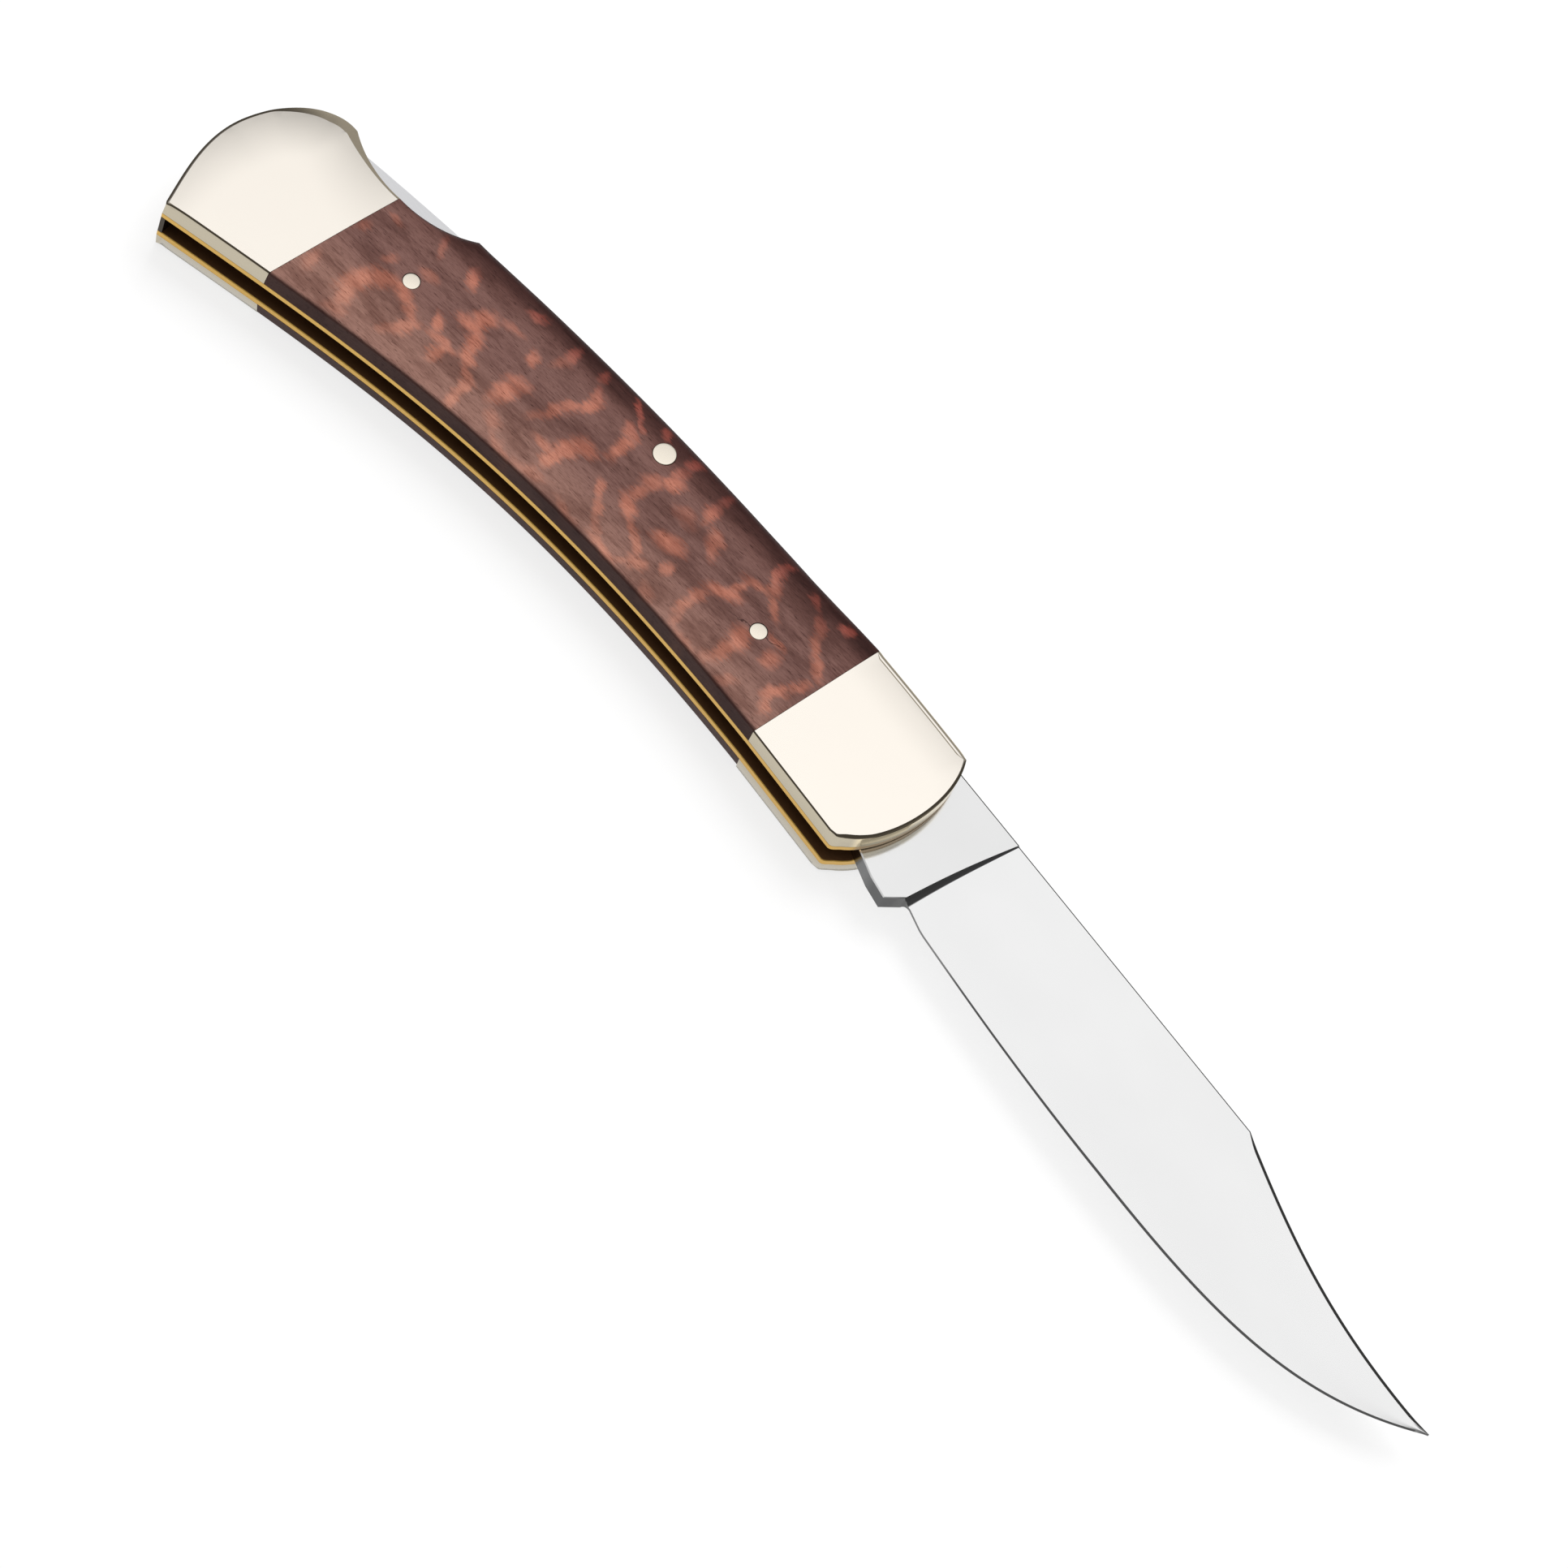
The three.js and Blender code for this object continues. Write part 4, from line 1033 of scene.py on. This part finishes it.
SOFT_MARKS = (
    (-86.8, -15.6, 1.8, 1.1, -70), (-80.4, -10.3, 1.8, 0.7, -30), (-79.2, -12.0, 1.8, 0.9, 75),
    (-74.5, -9.3, 2.2, 0.6, 5), (-69.4, -9.3, 1.5, 0.6, -15), (-68.3, -11.2, 1.5, 0.7, -80),
    (-67.6, -13.3, 1.2, 0.8, -60), (-71.4, 3.8, 1.3, 0.6, 25), (-66.8, -0.7, 1.1, 0.7, -50),
    (-64.4, 4.2, 1.3, 0.7, -65), (-64.9, -4.6, 1.6, 0.8, 20), (-59.7, 5.8, 0.9, 0.6, -60),
    (-57.6, 2.7, 1.5, 0.7, -50), (-58.4, -0.8, 1.8, 0.7, 60), (-59.3, -3.3, 1.6, 0.7, 75),
    (-51.6, 5.6, 1.4, 0.35, -30), (-51.3, 3.6, 1.2, 0.7, -20), (-48.8, 7.6, 0.9, 0.6, -45),
    (-43.5, 7.8, 1.1, 0.7, 40), (-43.2, 5.2, 1.6, 0.8, -85), (-44.2, 1.4, 1.4, 0.9, 40),
    (-44.4, -1.0, 1.5, 0.8, 90), (-40.5, -4.8, 1.6, 0.5, -25), (-38.4, -6.0, 1.4, 0.6, -35),
    (-56.2, -7.1, 1.8, 0.6, 8), (-47.1, -4.9, 1.3, 0.5, -40), (-45.4, -6.8, 1.4, 0.6, -50),
    (-40.5, -10.0, 2.2, 0.6, 0), (-36.3, -7.5, 1.3, 0.8, 25), (-33.0, 2.6, 1.7, 0.9, -40),
    (-33.5, -4.6, 0.8, 0.6, -60), (-25.4, 8.9, 0.9, 0.6, 60), (-23.8, 5.1, 1.2, 0.8, -60),
    (-25.4, 3.7, 1.8, 0.6, 20), (-26.4, 1.6, 1.5, 0.7, 80), (-28.6, -3.8, 1.5, 0.8, 80),
    (-28.4, -6.2, 1.5, 0.7, 90), (-21.7, 3.4, 1.8, 0.5, -25), (-19.6, 8.8, 1.0, 0.5, -20),
    (-16.6, 7.0, 1.5, 0.6, -45), (-14.5, 4.6, 1.6, 0.6, -40), (-12.0, 2.9, 1.8, 0.6, -28),
    (-17.6, 0.8, 1.4, 0.35, -3), (-16.4, -1.4, 1.1, 1.1, 0), (-11.2, -0.6, 1.5, 0.7, 75),
    (-11.9, -6.0, 1.3, 0.7, -60),
)
FAINT_MARKS = (
    (-80.2, -14.2, 1.3, 0.7, 60), (-85.9, -0.3, 1.6, 0.5, -60), (-83.7, -4.8, 1.2, 0.6, 15),
    (-71.6, -0.3, 1.5, 0.5, 10), (-64.1, 2.2, 1.2, 0.6, 70), (-59.9, -5.4, 1.1, 0.6, 60),
    (-50.2, -1.0, 0.9, 0.6, 0), (-43.5, -8.5, 1.5, 0.5, -40), (-37.5, -8.8, 1.3, 0.4, 35),
    (-62.4, -10.6, 1.4, 0.7, -20), (-58.5, -12.5, 2.2, 0.5, -15), (-54.0, -11.2, 2.2, 0.7, 25),
    (-47.3, -10.8, 1.8, 0.6, -10), (-37.1, 7.9, 1.3, 0.7, 90), (-38.0, 2.0, 1.5, 1.0, 0),
    (-27.4, -8.3, 1.2, 0.6, -50), (-21.0, -8.0, 1.2, 0.8, 45), (-17.3, -8.3, 1.3, 0.6, 60),
    (-32.4, -9.2, 1.3, 0.8, -20), (-24.5, -9.2, 1.6, 0.5, 5), (-93.8, -7.6, 0.9, 0.6, 60),
    (-93.5, -16.3, 1.5, 0.8, -70), (-92.2, -3.3, 1.2, 0.4, 5), (-88.2, -7.6, 0.9, 0.6, 60),
    (-86.0, -18.0, 1.5, 0.8, 20),
)
HAIRLINE = (-20.2, -0.25, 3.6, 0.07, 17)
MARK_DEPTH = 1000
GRAIN_TURN = 7


def scale_wood():
    finish = Finish("figured dark wood", {"Specular IOR Level": 0.12})
    mix, band, noise, stretch = finish.mix, finish.band, finish.noise, finish.stretch
    x, y, _ = finish.split(finish.place)
    jag = noise(stretch((3.0, 0.3, 1.0), GRAIN_TURN), 5, 0.7) - 0.5
    sway = noise(stretch((2.6, 2.2, 4.0)), 3, 0.55, output=1)
    sway = finish.vector("MULTIPLY_ADD", sway, (2.0, 2.0, 0), finish.place)
    shift = finish.node("CombineXYZ", None, {0: jag * 2.2 - 1.0, 1: -1.0})
    drawn_x, drawn_y, _ = finish.split(finish.vector("ADD", sway, shift))

    def nearness(marks, before):
        """How near the closest mark is, with 1 at its outline. Each mark waits for the one before it, which
        keeps the shader's memory small."""
        nearest = 9.0
        for middle_x, middle_y, length, width, turn in marks:
            place = finish.node("CombineXYZ", None, {0: drawn_x, 1: drawn_y, 2: before})
            inside = stretch((length, width, MARK_DEPTH), turn, (middle_x, middle_y, 0), place)
            nearest = finish.math("MINIMUM", finish.vector("LENGTH", inside, output="Value"), nearest)
            before = nearest
        return nearest

    strong = nearness(STRONG_MARKS, 0.0)
    soft = nearness(SOFT_MARKS, strong)
    faint = nearness(FAINT_MARKS, soft)
    crack = band(nearness((HAIRLINE,), faint), 1.6, 0.6)
    streak = noise(stretch((3.2, 0.2, 0.25), GRAIN_TURN), 5, 0.65)
    fine = noise(stretch((0.9, 0.06, 0.06), GRAIN_TURN), 3, 0.7)
    pores = noise(stretch((1.2, 0.1, 0.12), GRAIN_TURN, (2, 5, 1)), 1, 0.4)
    pores = band(pores, 0.66, 0.74)
    cloud = noise(stretch((9, 2.6, 6), GRAIN_TURN), 4, 0.6)
    ragged = (streak - 0.5) * 1.8 + (fine - 0.5) * 0.9

    figure = band(strong + ragged, 1.85, 0.4)
    figure = finish.math("MAXIMUM", figure, band(soft + ragged, 1.8, 0.4) * 0.8)
    figure = finish.math("MAXIMUM", figure, band(faint + ragged, 1.9, 0.3) * 0.5)
    # Painted shade and light: the wood is painted darker near the spine's rim and lighter towards the belly,
    # by depth below the spine
    depth = SPINE_HEIGHT - (x - SPINE_APEX) * (x - SPINE_APEX) / (2 * SPINE_RADIUS) - y
    rim = band(depth, 0.8, 5)
    middle = band(depth, 2.5, 7)
    belly = band(depth, 11, 21)

    def lit(tint, *others):
        """Painted shade and light: from dark at the rim by the spine down to lighter at the belly."""
        for share, other in zip((rim, middle, belly), others):
            tint = mix(share, tint, colour(*other))
        return tint

    ground = lit(colour(60, 34, 31), (100, 67, 61), (124, 90, 83), (151, 113, 101))
    flame = lit(colour(136, 68, 58), (156, 94, 82), (186, 120, 100), (200, 138, 116))
    tint = mix(figure, ground, flame)
    shades = ((cloud, 0.58, 0.36, 0.8), (streak, 0.52, 0.3, 0.8), (fine, 0.55, 0.25, 0.9))
    for grain, low, high, share in shades:
        tint = mix(band(grain, low, high) * share, tint, colour(196, 184, 182), "MULTIPLY")
    tint = mix(pores * 0.85, tint, colour(120, 100, 98), "MULTIPLY")
    tint = mix(crack * 0.8, tint, colour(40, 20, 18))
    # Painted shade: walls and rounded edges are painted dark purple-brown
    wall = band(finish.facing()[2], 0.95, 0.7)
    tint = mix(wall * 0.85, tint, colour(36, 13, 14))
    height = streak * 0.3 + fine * 0.2 - pores
    return finish.paint(tint, 0.42 + pores * 0.2 + wall * 0.1, finish.bump(height, 0.2, 0.05))


def pale_floor():
    """A white board lit from below as well, as on a product table."""
    finish = Finish("pale floor", {"Roughness": 0.9, "Specular IOR Level": 0.0,
                                   "Emission Strength": FLOOR_GLOW, "Emission Color": (1, 1, 1, 1)})
    grain = finish.noise(finish.stretch((2, 2, 2)), 2, 0.5)
    tint = finish.mix(grain, (FLOOR_TINT, FLOOR_TINT, FLOOR_TINT, 1), (FLOOR_TINT + 0.01,) * 3 + (1,))
    return finish.paint(tint)


nickel = nickel_silver("polished nickel silver", (251, 244, 234), (190, 181, 161))
pin_metal = nickel_silver("turned nickel silver", (238, 229, 214), (190, 181, 161))
# Painted shade: the butt spacer, seen only at the slot's shaded end, is painted dark
shaded = nickel_silver("nickel silver painted in shade", (92, 80, 64), (62, 54, 45))
steel = blade_steel()
bar = brushed_steel("brushed lock bar steel", (5, 0.07, 0.07), 4, (214, 214, 216), (236, 236, 238),
                    0.28, 0.12, 0.12)
spring = brushed_steel("dark spring steel", (3, 0.08, 0.08), 3, (96, 94, 92), (142, 140, 137),
                       0.36, 0.14, 0.15)
brass = liner_brass()
wood = scale_wood()


# Assembly

def pair(base, shape, finish):
    piece(f"{base}_right_dressed", shape, finish, "handle", f"{base}_right")
    piece(f"{base}_left_dressed", to_left(shape), finish, "handle", f"{base}_left")


pair("front_bolster", cover_plate(front_bolster_outline()), nickel)
pair("rear_bolster", cover_plate(rear_bolster_outline()), nickel)
pair("scale", cover_plate(scale_outline(), [LOCK_PIN, FRONT_RIVET, REAR_RIVET]), wood)
liner_holes = [LOCK_PIN, FRONT_RIVET, REAR_RIVET, SPRING_PIN, BUTT_PIN, PIVOT]
pair("liner", slab(handle_outline(), SLOT_HIGH, COVER_HIGH, LINER_BREAK, liner_holes), brass)
for base, place in (("front_rivet", FRONT_RIVET), ("rear_rivet", REAR_RIVET)):
    pair(base, turned_pin(place, SLOT_HIGH, TOP, domed_low=False), pin_metal)
lock_pin = turned_pin(LOCK_PIN, 0, TOP, domed_low=True)
piece("lock_bar_pin_dressed", lock_pin, pin_metal, "handle", "lock_bar_pin")
lock_bar = slab(lock_bar_outline(), MIDDLE - BLADE_HALF, MIDDLE + BLADE_HALF, BAR_BREAK, [LOCK_PIN])
piece("lock_bar_dressed", lock_bar, bar, "lock", "lock_bar")
piece("blade_dressed", dressed_blade(), steel, "blade", "blade", BLADE_SHARP)

for node, finish in (("back_spring", spring), ("butt_spacer", shaded), ("blade_pivot_pin", pin_metal),
                     ("spring_pin", pin_metal), ("butt_pin", pin_metal)):
    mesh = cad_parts[node].data
    mesh.materials.clear()
    mesh.materials.append(finish)


# Floor, light and camera

def floor():
    far = FLOOR_REACH
    mesh = bpy.data.meshes.new("floor")
    mesh.from_pydata([(-far, -far, 0), (far, -far, 0), (far, far, 0), (-far, far, 0)], [], [(0, 1, 2, 3)])
    mesh.materials.append(pale_floor())
    add("floor", mesh)


def softbox():
    """A square lamp that faces the knife; its own mirror image stays out of the polished metal."""
    data = bpy.data.lights.new("key", "AREA")
    data.shape = "SQUARE"
    data.size = KEY_SIZE
    data.energy = KEY_POWER
    lamp = add("key", data)
    lamp.location = KEY_PLACE
    lamp.rotation_euler = (-Vector(KEY_PLACE)).to_track_quat("-Z", "Y").to_euler()
    lamp.visible_glossy = False


def sky():
    """A white ceiling over grey walls."""
    world = bpy.data.worlds.new("soft studio")
    world.use_nodes = True
    bpy.context.scene.world = world
    nodes = Nodes(world.node_tree)
    east, north, up = nodes.split(nodes.node("TexCoord", output="Generated"))
    shade = nodes.math("MAXIMUM", east, 0.0) * EAST_SHADE + nodes.math("MINIMUM", north, 0.0) * -NEAR_SHADE
    ceiling = nodes.node("MapRange", None,
                         {"Value": up - shade, "From Min": CEILING_LOW, "From Max": CEILING_HIGH})
    light = nodes.node("Mix", None, {0: ceiling, 2: WALLS, 3: CEILING})
    seen = nodes.node("LightPath", output="Is Camera Ray")
    background = nodes.tree.nodes["Background"]
    nodes.feed(background.inputs["Strength"], nodes.node("Mix", None, {0: seen, 2: light, 3: 1.0}))
    nodes.feed(background.inputs["Color"], (1, 1, 1, 1))


def camera():
    azimuth, elevation, roll = (radians(angle) for angle in CAMERA_TURN)
    back = Vector((sin(azimuth) * cos(elevation), -cos(azimuth) * cos(elevation), sin(elevation)))
    level = Vector((cos(azimuth), sin(azimuth), 0))
    upright = back.cross(level)
    up = upright * cos(roll) + level * sin(roll)
    right = up.cross(back)
    data = bpy.data.cameras.new("camera")
    data.lens = LENS
    data.sensor_width = SENSOR
    thing = add("camera", data)
    turn = Matrix((right, up, back)).transposed().to_4x4()
    thing.matrix_world = Matrix.Translation(Vector(CAMERA_AIM) * MM + back * CAMERA_DISTANCE) @ turn
    bpy.context.scene.camera = thing


floor()
sky()
softbox()
camera()
bpy.context.scene.view_settings.view_transform = "Standard"
